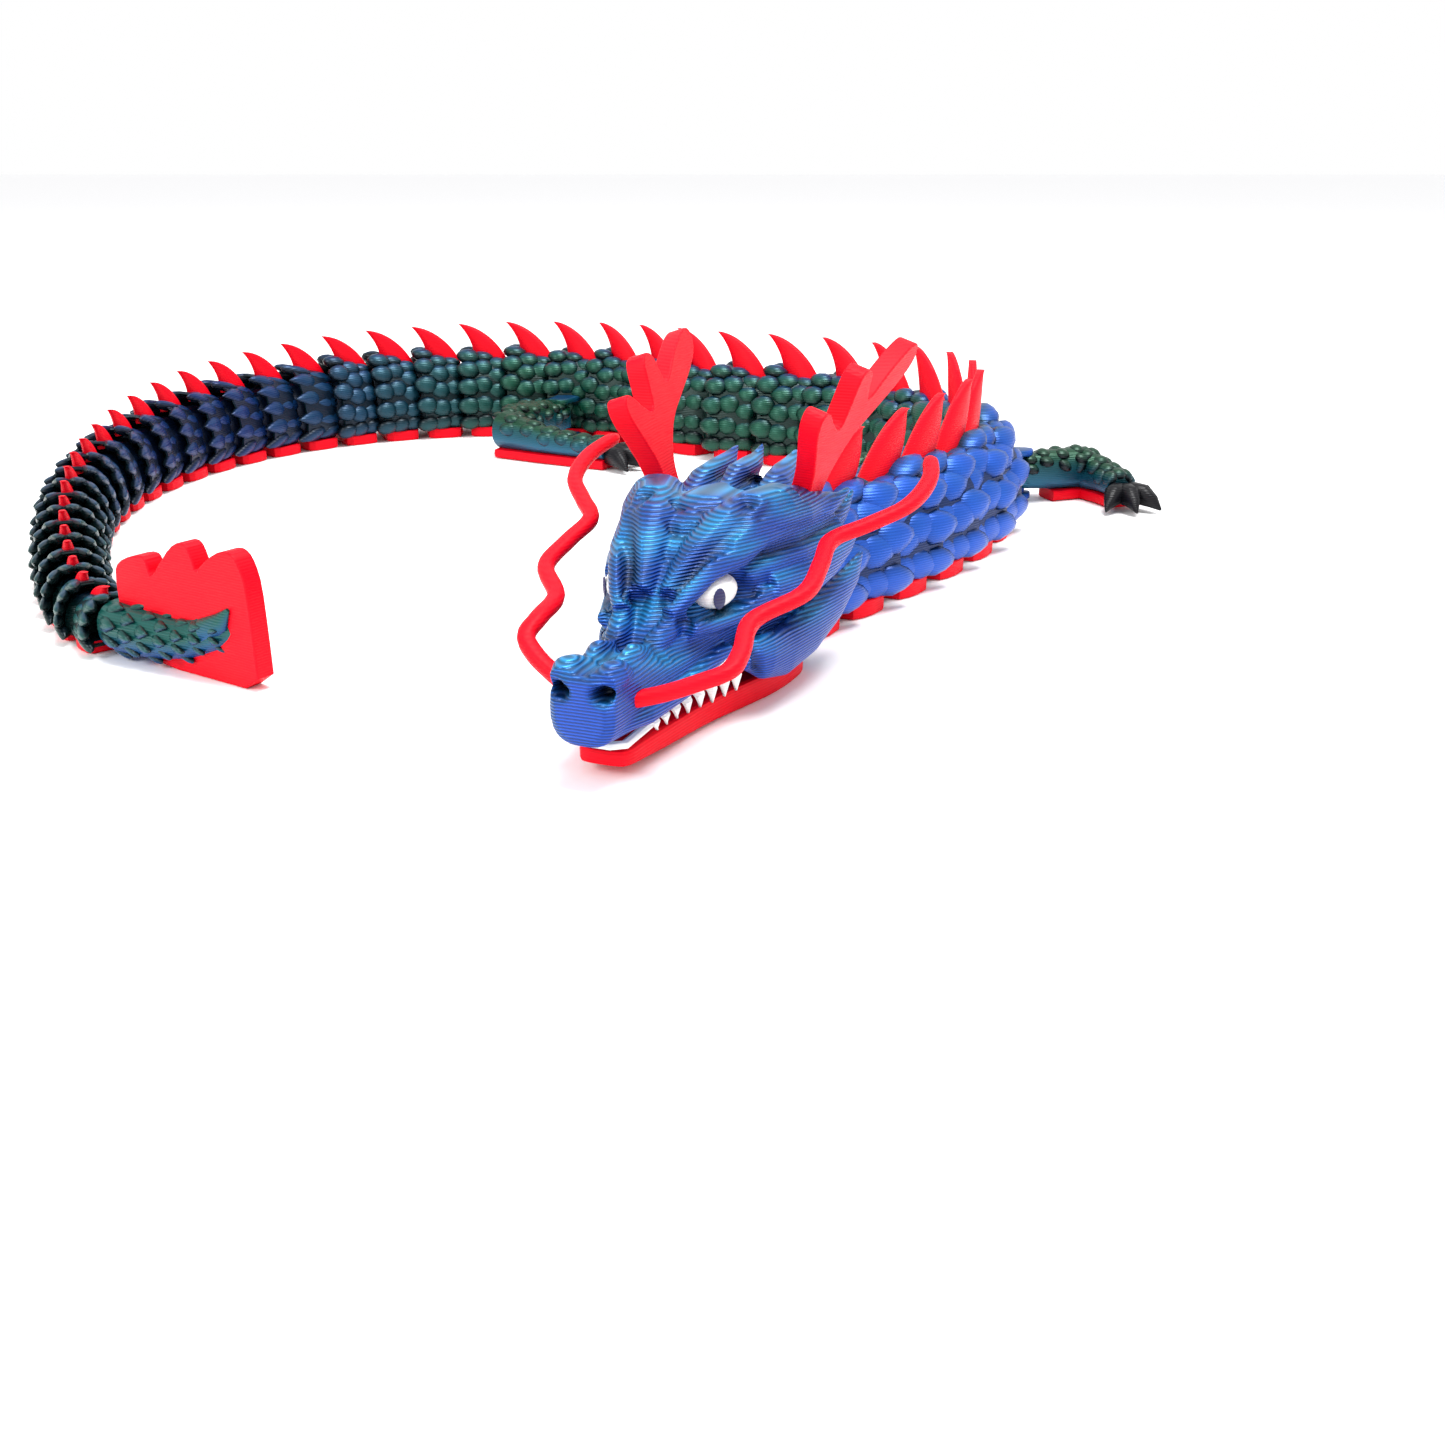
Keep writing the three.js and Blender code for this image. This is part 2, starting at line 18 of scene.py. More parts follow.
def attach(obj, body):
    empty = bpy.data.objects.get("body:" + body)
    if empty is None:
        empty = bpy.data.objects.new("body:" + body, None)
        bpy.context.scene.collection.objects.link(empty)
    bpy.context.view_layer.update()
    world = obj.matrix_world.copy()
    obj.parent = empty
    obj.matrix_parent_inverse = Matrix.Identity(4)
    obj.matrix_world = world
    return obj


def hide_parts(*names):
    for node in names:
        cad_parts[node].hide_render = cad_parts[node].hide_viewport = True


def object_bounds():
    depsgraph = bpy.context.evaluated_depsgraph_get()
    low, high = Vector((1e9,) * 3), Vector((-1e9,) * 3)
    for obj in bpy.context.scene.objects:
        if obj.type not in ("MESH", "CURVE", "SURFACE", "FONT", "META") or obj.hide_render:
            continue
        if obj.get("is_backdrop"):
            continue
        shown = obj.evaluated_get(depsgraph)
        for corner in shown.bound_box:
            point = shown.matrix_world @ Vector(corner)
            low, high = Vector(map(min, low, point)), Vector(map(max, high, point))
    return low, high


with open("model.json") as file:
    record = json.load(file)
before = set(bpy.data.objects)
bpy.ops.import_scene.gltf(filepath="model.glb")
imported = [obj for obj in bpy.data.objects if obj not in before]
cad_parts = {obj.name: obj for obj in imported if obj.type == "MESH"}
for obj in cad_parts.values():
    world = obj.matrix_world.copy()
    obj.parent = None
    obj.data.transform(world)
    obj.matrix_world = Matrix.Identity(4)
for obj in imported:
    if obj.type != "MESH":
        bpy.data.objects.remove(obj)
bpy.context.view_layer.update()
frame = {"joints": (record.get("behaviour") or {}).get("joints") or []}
random.seed(7)
MM = 0.001

# %% [markdown]
# The toy is a chain: a head, 41 links and a tail end, each on an upright pin. Every piece is drawn
# in millimetres in its own frame, with x towards the tail, y to the dragon's right and z up from
# the table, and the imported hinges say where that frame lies.

# %% Where each piece lies
NECK, BODY, TAIL = 7, 8, 24
LINK_NAMES = (
    [f"neck_link_{n + 1:02d}" for n in range(NECK)] + ["shoulder_link"]
    + [f"body_link_{n + 1:02d}" for n in range(BODY)] + ["hip_link"]
    + [f"tail_link_{n + 1:02d}" for n in range(TAIL)]
)
LINKS = len(LINK_NAMES)
SHOULDER, HIP = LINK_NAMES.index("shoulder_link"), LINK_NAMES.index("hip_link")
HEAD_YAW = math.radians(69.5)
TAIL_TURN = math.radians(12.5)

hinge_at = {}
for joint in frame["joints"]:
    x, y, z = joint["pos_m"]
    hinge_at[joint["child"]] = Vector((x, y, 0))

chain = LINK_NAMES + ["tail_tip"]
places, pitches = {}, []
for name, following in zip(chain, chain[1:]):
    step = hinge_at[following] - hinge_at[name]
    pitches.append(step.length / MM)
    yaw = math.atan2(step.y, step.x)
    places[name] = Matrix.Translation(hinge_at[name]) @ Matrix.Rotation(yaw, 4, "Z")
places["tail_tip"] = Matrix.Translation(hinge_at["tail_tip"]) @ Matrix.Rotation(yaw + TAIL_TURN, 4, "Z")
places["head"] = Matrix.Translation(hinge_at["neck_link_01"]) @ Matrix.Rotation(HEAD_YAW, 4, "Z")
print(LINKS, "links, pitch", round(pitches[0], 2), "to", round(pitches[-1], 2), "mm")


def along(stations, place):
    """The value at a place between (place, value) stations."""
    return float(np.interp(place, [s[0] for s in stations], [s[1] for s in stations]))


def half_width(place):
    return along([(10, 6.9), (LINKS, 3.4)], place)


def height(place):
    return along([(8, 13.4), (12, 14.0), (21, 13.6), (26, 11.8), (30, 9.3), (LINKS, 5.3)], place)

# %% [markdown]
# Four plastics in six finishes. The blue-green one is silk filament: its two colours lie side by
# side in each line, so one side of the toy looks blue and the other green. Each piece carries that
# share in a colour layer, together with painted shade round its scales and in its creases, and on
# the head a painted highlight on the upward slopes. The head has deeper ridges than the links, and
# the pupils are the dark plastic in navy. All of them show the fine flat layers of the printer, as
# ridges across z, with painted shade in the grooves between the layers.

# %% Plastics
LAYER = 0.26 * MM
SPECKLE = 260  # of the unevenness, per metre
WANDER = 1.2  # of the layers, radians
BLUE, TEAL, GREEN = (0.006, 0.075, 0.50), (0.002, 0.11, 0.15), (0.0015, 0.066, 0.026)
# DARK is the colour that painted shade darkens towards, round the scales, between them and in the creases
# and hollows of the head; it also deepens the green of the legs
NAVY, DARK = (0.004, 0.014, 0.13), (0.0005, 0.003, 0.006)
# the light sky blue on the next line is the colour of the painted highlight on the head's upward slopes
BACK_NAVY, HIGHLIGHT_SKY = (0.004, 0.03, 0.2), (0.02, 0.34, 0.62)
CHEEK_GREEN, LEG_BLUE = (0.01, 0.16, 0.10), (0.004, 0.1, 0.19)


def plastic(name, colour, roughness, ridge, metallic=0.0, layer_name=None, shade=0.25, coat=0.0, shine=0.5):
    """Printed plastic: a base colour, a little unevenness, and layer ridges in z, with painted shade in
    their grooves.
    """
    material = bpy.data.materials.new(name)
    material.use_nodes = True
    nodes, links = material.node_tree.nodes, material.node_tree.links
    shader = nodes["Principled BSDF"]
    shader.inputs["Metallic"].default_value = metallic
    shader.inputs["Coat Weight"].default_value = coat
    shader.inputs["Coat Roughness"].default_value = 0.25
    shader.inputs["Specular IOR Level"].default_value = shine
    place = nodes.new("ShaderNodeTexCoord")
    split = nodes.new("ShaderNodeSeparateXYZ")
    links.new(place.outputs["Object"], split.inputs[0])

    def maths(kind, a, b):
        node = nodes.new("ShaderNodeMath")
        node.operation = kind
        for socket, value in zip(node.inputs, (a, b)):
            if isinstance(value, (int, float)):
                socket.default_value = value
            elif value is not None:
                links.new(value, socket)
        return node.outputs[0]

    wobble = nodes.new("ShaderNodeTexNoise")
    wobble.inputs["Scale"].default_value = SPECKLE
    wobble.inputs["Detail"].default_value = 3
    links.new(place.outputs["Object"], wobble.inputs["Vector"])
    turns = maths("MULTIPLY", split.outputs["Z"], 2 * math.pi / LAYER)
    turns = maths("ADD", turns, maths("MULTIPLY", wobble.outputs["Fac"], WANDER))
    ridges = maths("MULTIPLY_ADD", maths("SINE", turns, None), 0.5)
    ridges.node.inputs[2].default_value = 0.5
    if layer_name:
        base = nodes.new("ShaderNodeAttribute")
        base.attribute_name = layer_name
        base = base.outputs["Color"]
    else:
        base = nodes.new("ShaderNodeRGB")
        base.outputs[0].default_value = (*colour, 1)
        base = base.outputs[0]
    # painted shade in the grooves between the layers: shade is how much darker they are
    dim = maths("MULTIPLY_ADD", ridges, shade)
    dim.node.inputs[2].default_value = 1 - shade
    uneven = maths("MULTIPLY_ADD", wobble.outputs["Fac"], 0.3)
    uneven.node.inputs[2].default_value = 0.85
    scale = nodes.new("ShaderNodeVectorMath")
    scale.operation = "SCALE"
    links.new(base, scale.inputs[0])
    links.new(maths("MULTIPLY", dim, uneven), scale.inputs["Scale"])
    links.new(scale.outputs[0], shader.inputs["Base Color"])
    rough = maths("MULTIPLY_ADD", wobble.outputs["Fac"], 0.16)
    rough.node.inputs[2].default_value = roughness - 0.08
    links.new(rough, shader.inputs["Roughness"])
    bump = nodes.new("ShaderNodeBump")
    bump.inputs["Strength"].default_value = 1
    bump.inputs["Distance"].default_value = ridge * MM
    links.new(ridges, bump.inputs["Height"])
    links.new(bump.outputs["Normal"], shader.inputs["Normal"])
    return material


SILK = plastic("silk_blue_green", BLUE, 0.36, 0.02, metallic=0.45, layer_name="silk", shade=0.16)
SILK_HEAD = plastic("silk_head", BLUE, 0.36, 0.085, metallic=0.45, layer_name="silk", shade=0.65, coat=0.05)
RED = plastic("red_plastic", (0.80, 0.0003, 0.012), 0.5, 0.012, shade=0.1, shine=0.12)
WHITE = plastic("white_plastic", (0.86, 0.86, 0.84), 0.5, 0.02, shade=0.08)
PUPIL = plastic("pupil_navy", (0.012, 0.016, 0.09), 0.45, 0.02, shade=0.15)
BLACK = plastic("black_plastic", (0.004, 0.004, 0.006), 0.35, 0.02, shade=0.3, shine=0.2)

# %% [markdown]
# Helpers that draw closed bodies in millimetres: a loft through rings of points, a tube of rounded
# section along a path, which serves for the skull, ridges, limbs and claws, and a flat plate with
# soft edges. A finished piece goes to its place, gets its plastic and rides its body.

# %% Drawing helpers


def loft(bm, rings):
    """A closed body through rings of points: a capped ring, extruded from each to the next."""
    spoke = bm.verts.layers.int.get("spoke") or bm.verts.layers.int.new("spoke")
    first = bmesh.ops.create_circle(bm, cap_ends=True, radius=1, segments=len(rings[0]))["verts"]
    for k, v in enumerate(first):
        v[spoke] = k
    cap = first[0].link_faces[0]
    for count, points in enumerate(rings):
        if count:
            inner = cap
            grown = bmesh.ops.extrude_face_region(bm, geom=[cap])["geom"]
            cap = next(g for g in grown if isinstance(g, bmesh.types.BMFace))
            if count > 1:
                bmesh.ops.delete(bm, geom=[inner], context="FACES_ONLY")
        for v in cap.verts:
            v.co = points[v[spoke]]


def tube(bm, path, sides=16, power=1.0):
    """A closed rounded body. Each path entry is (point, half across, half up)."""
    points = [Vector(p) for p, _, _ in path]
    rings = []
    for k, (_, across, up) in enumerate(path):
        forward = (points[min(k + 1, len(path) - 1)] - points[max(k - 1, 0)]).normalized()
        sideways = forward.cross(Vector((0, 0, 1)))
        sideways = sideways.normalized() if sideways.length > 1e-3 else Vector((0, 1, 0))
        upright = sideways.cross(forward)
        ring = []
        for step in range(sides):
            angle = 2 * math.pi * step / sides
            c, s = math.cos(angle), math.sin(angle)
            c, s = math.copysign(abs(c) ** power, c), math.copysign(abs(s) ** power, s)
            ring.append(points[k] + sideways * across * c + upright * up * s)
        rings.append(ring)
    loft(bm, rings)


def smooth_outline(points, rounds=2):
    """Cuts the corners of a closed outline, a few times over."""
    for _ in range(rounds):
        cut = []
        for a, b in zip(points, points[1:] + points[:1]):
            cut.append(tuple(0.75 * p + 0.25 * q for p, q in zip(a, b)))
            cut.append(tuple(0.25 * p + 0.75 * q for p, q in zip(a, b)))
        points = cut
    return points


def plate(bm, outline, thickness, edge=0.3, upright=True):
    """A plate with soft edges. Its outline is in x and z if upright, else in x and y from z 0 up."""
    low, high = (-thickness / 2, thickness / 2) if upright else (0, thickness)
    place = (lambda x, z, t: Vector((x, t, z))) if upright else (lambda x, y, t: Vector((x, y, t)))
    ring = [bm.verts.new(place(x, z, low)) for x, z in outline]
    face = bm.faces.new(ring)
    grown = bmesh.ops.extrude_face_region(bm, geom=[face])
    top = [v for v in grown["geom"] if isinstance(v, bmesh.types.BMVert)]
    shift = place(0, 0, high) - place(0, 0, low)
    bmesh.ops.translate(bm, verts=top, vec=shift)
    rims = [e for e in bm.edges if set(e.verts) <= set(top) or set(e.verts) <= set(ring)]
    bmesh.ops.bevel(bm, geom=rims, offset=edge, offset_type="OFFSET", segments=2, profile=0.5,
                    affect="EDGES", material=-1)


def finish_piece(name, bm, place, body, material, replaces=(), colour=None, angle=40):
    """Turns normals out, moves the piece to its place, in metres, and finishes it."""
    bmesh.ops.remove_doubles(bm, verts=bm.verts, dist=1e-4)
    bmesh.ops.recalc_face_normals(bm, faces=bm.faces)
    if colour:
        layer = bm.verts.layers.float_color.new("silk")
        painted_shade = bm.verts.layers.float.get("painted_shade")
        bm.normal_update()
        for v in bm.verts:
            base = colour(v.co, v.normal)
            # the painted shade layer darkens the colour towards DARK
            v[layer] = (*(mix(base, DARK, v[painted_shade]) if painted_shade else base), 1)
    spoke = bm.verts.layers.int.get("spoke")
    if spoke:
        bm.verts.layers.int.remove(spoke)
    bmesh.ops.transform(bm, matrix=place @ Matrix.Scale(MM, 4), verts=bm.verts)
    mesh = bpy.data.meshes.new(name)
    bm.to_mesh(mesh)
    bm.free()
    finish_mesh(name, mesh, body, material, replaces, angle)


def finish_mesh(name, mesh, body, material, replaces=(), angle=40):
    """Gives a mesh its plastic and smooth shading, and lets it ride its body."""
    mesh.materials.append(material)
    mesh.shade_smooth()
    mesh.set_sharp_from_angle(angle=math.radians(angle))
    obj = bpy.data.objects.new(name, mesh)
    bpy.context.scene.collection.objects.link(obj)
    if replaces:
        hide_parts(*replaces)
    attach(obj, body)


def mix(a, b, share):
    share = min(max(share, 0), 1)
    return tuple(p + (q - p) * share for p, q in zip(a, b))


print("drawn in mm; 1 mm is", MM, "m")

# %% [markdown]
# Colour of the chain. The neck is blue on the dragon's left and green on its right, the right
# side stays green along the body, then comes a navy stretch, and the tail is dark green on top.

# %% Silk colours
RIGHT = [(0, BLUE), (4, GREEN), (17, GREEN), (21, mix(GREEN, NAVY, 0.6)), (24, NAVY), (28, NAVY),
         (31, mix(NAVY, TEAL, 0.3)), (35, mix(GREEN, TEAL, 0.3)), (LINKS, GREEN)]
LEFT = [(0, BLUE), (9, BLUE), (14, mix(BLUE, GREEN, 0.5)), (20, GREEN), (26, mix(GREEN, TEAL, 0.2)),
        (34, GREEN), (LINKS, mix(GREEN, TEAL, 0.3))]


def band(stations, place):
    for (a, first), (b, second) in zip(stations, stations[1:]):
        if place <= b:
            return mix(first, second, (place - a) / (b - a))
    return stations[-1][1]


def silk_of(link):
    right, left = band(RIGHT, link), band(LEFT, link)

    def colour(point, normal):
        base = mix(left, right, 0.5 + normal.y * 1.2)
        patch = 0.5 + 0.5 * math.sin(point.x * 0.9 + point.z * 0.7 + link * 2.1)
        base = mix(base, TEAL, 0.1 + 0.2 * patch * max(normal.z, 0))
        return mix(base, BACK_NAVY, max(normal.z - 0.6, 0) * along([(5, 0), (9, 1.2)], link))

    return colour


print("colour stations:", len(RIGHT), "right,", len(LEFT), "left")

# %% [markdown]
# A link is a short barrel, narrow in front and flared at the rear, so that it slips inside the
# one ahead of it when the chain bends. Its flanks and back follow this rounded arch.

# %% The arch of a link
ARCH = [(0, 1), (0.3, 0.985), (0.58, 0.91), (0.83, 0.75), (0.97, 0.52), (1, 0.33), (0.93, 0.19),
        (0.78, 0.12)]
arch_side = np.array([(-y, z) for y, z in ARCH[:0:-1]] + ARCH, float)
arch_steps = np.r_[0, np.cumsum(np.hypot(*np.diff(arch_side * (1, 1.9), axis=0).T))]
arch_steps = 2 * arch_steps / arch_steps[-1] - 1


FRONT = 0.36  # where a link's scaled part starts, share of the half width


def arch(share):
    """The point (y, z) of the arch, as shares of half width and height, from -1 left to 1 right."""
    return (float(np.interp(share, arch_steps, arch_side[:, 0])),
            float(np.interp(share, arch_steps, arch_side[:, 1])))


def on_link(link, x, share, lift=0.0):
    """The point and outward direction on a link's surface."""
    pitch, half, high = pitches[link], half_width(link + 0.5), height(link + 0.5)
    front = FRONT * half
    flare = along([(front, 0.76), (pitch, 0.95), (1.3 * pitch, 0.98)], x)
    y, z = arch(share)
    y2, z2 = arch(share + 0.02 if share < 0.97 else share - 0.02)
    run = Vector((0, (y2 - y) * half, (z2 - z) * high)) * (1 if share < 0.97 else -1)
    out = Vector((0, -run.z, run.y)).normalized()
    point = Vector((x, y * half * flare, z * high * (0.5 + 0.5 * flare + 0.02)))
    return point + out * lift, out


print("arch points:", len(arch_side))

# %% [markdown]
# Scales are small domes printed on the barrel. On the neck they are broad petals that point to
# the tail and hide the gap behind, on the body round bulbs in a diamond pattern, and on the tail
# narrow points, which make each link look like a collar. The shoulder and hip links also carry two
# plates and a pin on each side, on which the legs turn.

# %% Scales and barrels
# length, width and thick in mm, tilt in degrees; taper narrows the tip, rim is the painted shade
# that darkens the edge up to fade of the height, and reach is how far down the flanks the rows go
PETAL = dict(rows=3, across=8, length=5.9, width=4.3, thick=1.8, tilt=16, taper=0.5,
             rim=0.8, fade=0.36, reach=0.87)
BULB = dict(rows=3, across=11, length=4.0, width=3.4, thick=2.1, tilt=8, taper=0.3,
            rim=0.97, fade=0.5, reach=0.93)
POINT = dict(rows=2, across=11, length=5.6, width=3.2, thick=1.5, tilt=15, taper=0.92,
             rim=0.9, fade=0.42, reach=0.93)


def scale_kind(link):
    if link <= SHOULDER:
        return PETAL
    return BULB if link <= HIP + 5 else POINT


def add_scale(bm, centre, out, kind, size):
    """One dome, its length towards the tail and its tip lifted off the barrel. Its rim gets painted shade.
    """
    painted_shade = bm.verts.layers.float.get("painted_shade") or bm.verts.layers.float.new("painted_shade")
    side = out.cross(Vector((1, 0, 0))).normalized()
    lean = math.radians(kind["tilt"])
    forward = Vector((math.cos(lean), 0, 0)) + out * math.sin(lean)
    normal = side.cross(forward).normalized()
    if normal.dot(out) < 0:
        normal = -normal
    for v in bmesh.ops.create_uvsphere(bm, u_segments=10, v_segments=6, radius=0.5)["verts"]:
        co = v.co.copy()
        narrow = 1 - kind["taper"] * (co.x + 0.5) ** 2
        v.co = (centre + forward * co.x * kind["length"] * size + side * co.y * kind["width"] * size * narrow
                + normal * co.z * kind["thick"] * size)
        # painted shade at the rim, fading out up to fade of the dome's height
        v[painted_shade] = kind["rim"] * min(max(1 - co.z / kind["fade"], 0), 1)


KNUCKLE = 0.78  # plan radius of the round front end, share of the half width
KNUCKLE_HEIGHT = 0.84  # share of the link's height


def barrel(bm, link, sides=30):
    """The closed barrel: round in front about its pin, and a hollow skirt at the rear."""
    pitch, half, high = pitches[link], half_width(link + 0.5), height(link + 0.5)
    front, ball_radius = FRONT * half, KNUCKLE * half
    rings = []
    for turn in (2, 25, 50, 75, 90):
        x, share = -ball_radius * math.cos(math.radians(turn)), KNUCKLE * math.sin(math.radians(turn))
        around = map(arch, np.linspace(-1, 1, sides))
        rings.append([(x, y * half * share, z * high * KNUCKLE_HEIGHT) for y, z in around])
    hollow = pitch - KNUCKLE * half_width(link + 1.5) - 0.4
    skirt = [(front * 0.8, 0.9), (front + 0.3, 0.25), (front + 0.9, 0), (0.75 * pitch, 0),
             (1.06 * pitch, 0),
             (1.07 * pitch, 0.3), (0.95 * pitch, 0.65), (max(hollow, front + 1.2), 0.75)]  # x, inset
    for x, inset in skirt:
        rings.append([on_link(link, x, share, -inset)[0] for share in np.linspace(-1, 1, sides)])
    loft(bm, rings)


def cover(bm, link):
    """Rows of scales over the barrel, each row shifted by half a scale from the one before."""
    kind, pitch = scale_kind(link), pitches[link]
    growth = 1.25 if kind is POINT else 1.12 if kind is BULB and link > HIP else 1
    size = min(1, pitch / pitches[0] * growth)
    front = FRONT * half_width(link)
    for row in range(kind["rows"]):
        x = front + 0.6 + (row + 0.45) * (pitch - front + 1.0) / kind["rows"]
        count = kind["across"] - (row + link) % 2
        for k in range(count):
            share = kind["reach"] * (2 * k / (count - 1) - 1)
            if abs(share) < 0.07:
                continue
            sink = 0.65 - 0.28 * row
            centre, out = on_link(link, x - 0.3 * size, share, -sink * size)
            add_scale(bm, centre, out, kind, size * random.uniform(0.96, 1.04))


BRACKET = {"shoulder_link": "front_leg", "hip_link": "hind_leg"}
PLATE_LEVELS, PLATE_HALF = (0.3, 6.2), 0.5  # mm; undersides, and half the thickness
LEG_PIN = 0.9  # mm


def bracket(bm, name):
    """Two round-ended plates and a pin on each side, which hold the legs of the shoulder and hip."""
    for side in ("right", "left"):
        pin = places[name].inverted() @ hinge_at[f"{BRACKET[name]}_{side}"] / MM
        root = Vector((pin.x, pin.y * 0.55, 0))
        run = (pin - root).normalized()
        for low in PLATE_LEVELS:
            lift = Vector((0, 0, low + PLATE_HALF))
            plate_path = [(root, 2.2), (pin, 1.8), (pin + run * 1.0, 1.5), (pin + run * 1.6, 0.6)]
            tube(bm, [(p + lift, half, PLATE_HALF) for p, half in plate_path], sides=16, power=0.5)
        tube(bm, [(pin + Vector((0, 0, z)), LEG_PIN, LEG_PIN) for z in (0.8, 6.8)], sides=14)


# painted shade on the barrel between its scales, as a share of the way to DARK
SHADE_BETWEEN_SCALES = 0.8  # how dark the barrel is between its scales
for link, name in enumerate(LINK_NAMES):
    bm = bmesh.new()
    painted_shade = bm.verts.layers.float.new("painted_shade")
    barrel(bm, link)
    for v in bm.verts:
        v[painted_shade] = SHADE_BETWEEN_SCALES
    if name in BRACKET:
        bracket(bm, name)
    cover(bm, link)
    finish_piece(f"{name}_scales", bm, places[name], name, SILK, replaces=[name],
                 colour=silk_of(link), angle=60)
print("scaled links:", LINKS)

# %% [markdown]
# A red plate lies under every link and stands out a little at the flanks, and a red spike grows
# from the back. Neck spikes are broad leaves, body spikes hook back like a shark's fin, and the
# last ones are only dots.

# %% Belly plates and spikes
SPIKE_RISE = [(0, 4.2), (2, 5.5), (4, 6.3), (7, 6.1), (9, 5.3), (12, 4.9), (17, 4.5), (26, 2.8),
              (34, 1.1), (40, 0.7)]
LEVELS = 14


def spike(bm, link):
    """Level rings between a bowed front edge and a rear edge, closing in a tip that leans back."""
    pitch, high = pitches[link], height(link + 0.5)
    rise, leaf = along(SPIKE_RISE, link), along([(6, 1), (9, 0)], link)
    front, rear = (0.2 - 0.06 * leaf) * pitch, (0.9 + 0.1 * leaf) * pitch
    tip = rear + (0.55 - 0.1 * leaf) * rise
    rings = []
    for step in range(LEVELS):
        turn = math.pi / 2 * step / (LEVELS - 1)
        t, bow = math.sin(turn), 1 - math.cos(turn)
        lead = front + (tip - front) * ((0.3 + 0.15 * leaf) * t + (0.7 - 0.15 * leaf) * bow)
        trail = rear + (tip - rear) * (leaf * t + (1 - leaf) * t ** 2.4)
        trail += 0.1 * leaf * pitch * math.sin(math.pi * t)
        middle, half = (lead + trail) / 2, max((trail - lead) / 2, 0.15)
        thick = 0.11 * pitch * (1 - 0.6 * t) + 0.1
        z = 0.86 * high + t * (rise + 0.14 * high)
        angles = [2 * math.pi * k / 12 for k in range(12)]
        rings.append([(middle + half * math.cos(a), thick * math.sin(a), z) for a in angles])
    loft(bm, rings)


def belly(bm, link):
    pitch, half = pitches[link], half_width(link + 0.5)
    front, thick = FRONT * half, along([(10, 1.8), (LINKS, 1.1)], link)
    outline = [(front, 0.7 * half), (0.55 * pitch, 0.84 * half), (pitch, 0.8 * half),
               (pitch + 0.2, 0.5 * half)]
    outline += [(x, -y) for x, y in reversed(outline)]
    plate(bm, smooth_outline(outline, 1), thick, edge=0.2, upright=False)


for link, name in enumerate(LINK_NAMES):
    bm = bmesh.new()
    spike(bm, link)
    finish_piece(f"{name}_spike", bm, places[name], name, RED, angle=50)
    bm = bmesh.new()
    belly(bm, link)
    finish_piece(f"{name}_belly_plate", bm, places[name], name, RED, angle=20)
print("spikes and belly plates:", 2 * LINKS)

# %% [markdown]
# The head is one lump, carved rather than built: rounded bodies are put together for muzzle,
# brows, cheeks, frill and crest, melted into one skin, and the creases are then cut into it. Here
# d is the distance behind the nostrils and lat is to the dragon's left.

# %% Head lump
HEAD_LENGTH = 37
VOXEL, VOXEL_QUICK = 0.22, 0.5  # mm


def at(d, lat, z):
    return Vector((d - HEAD_LENGTH, -lat, z))


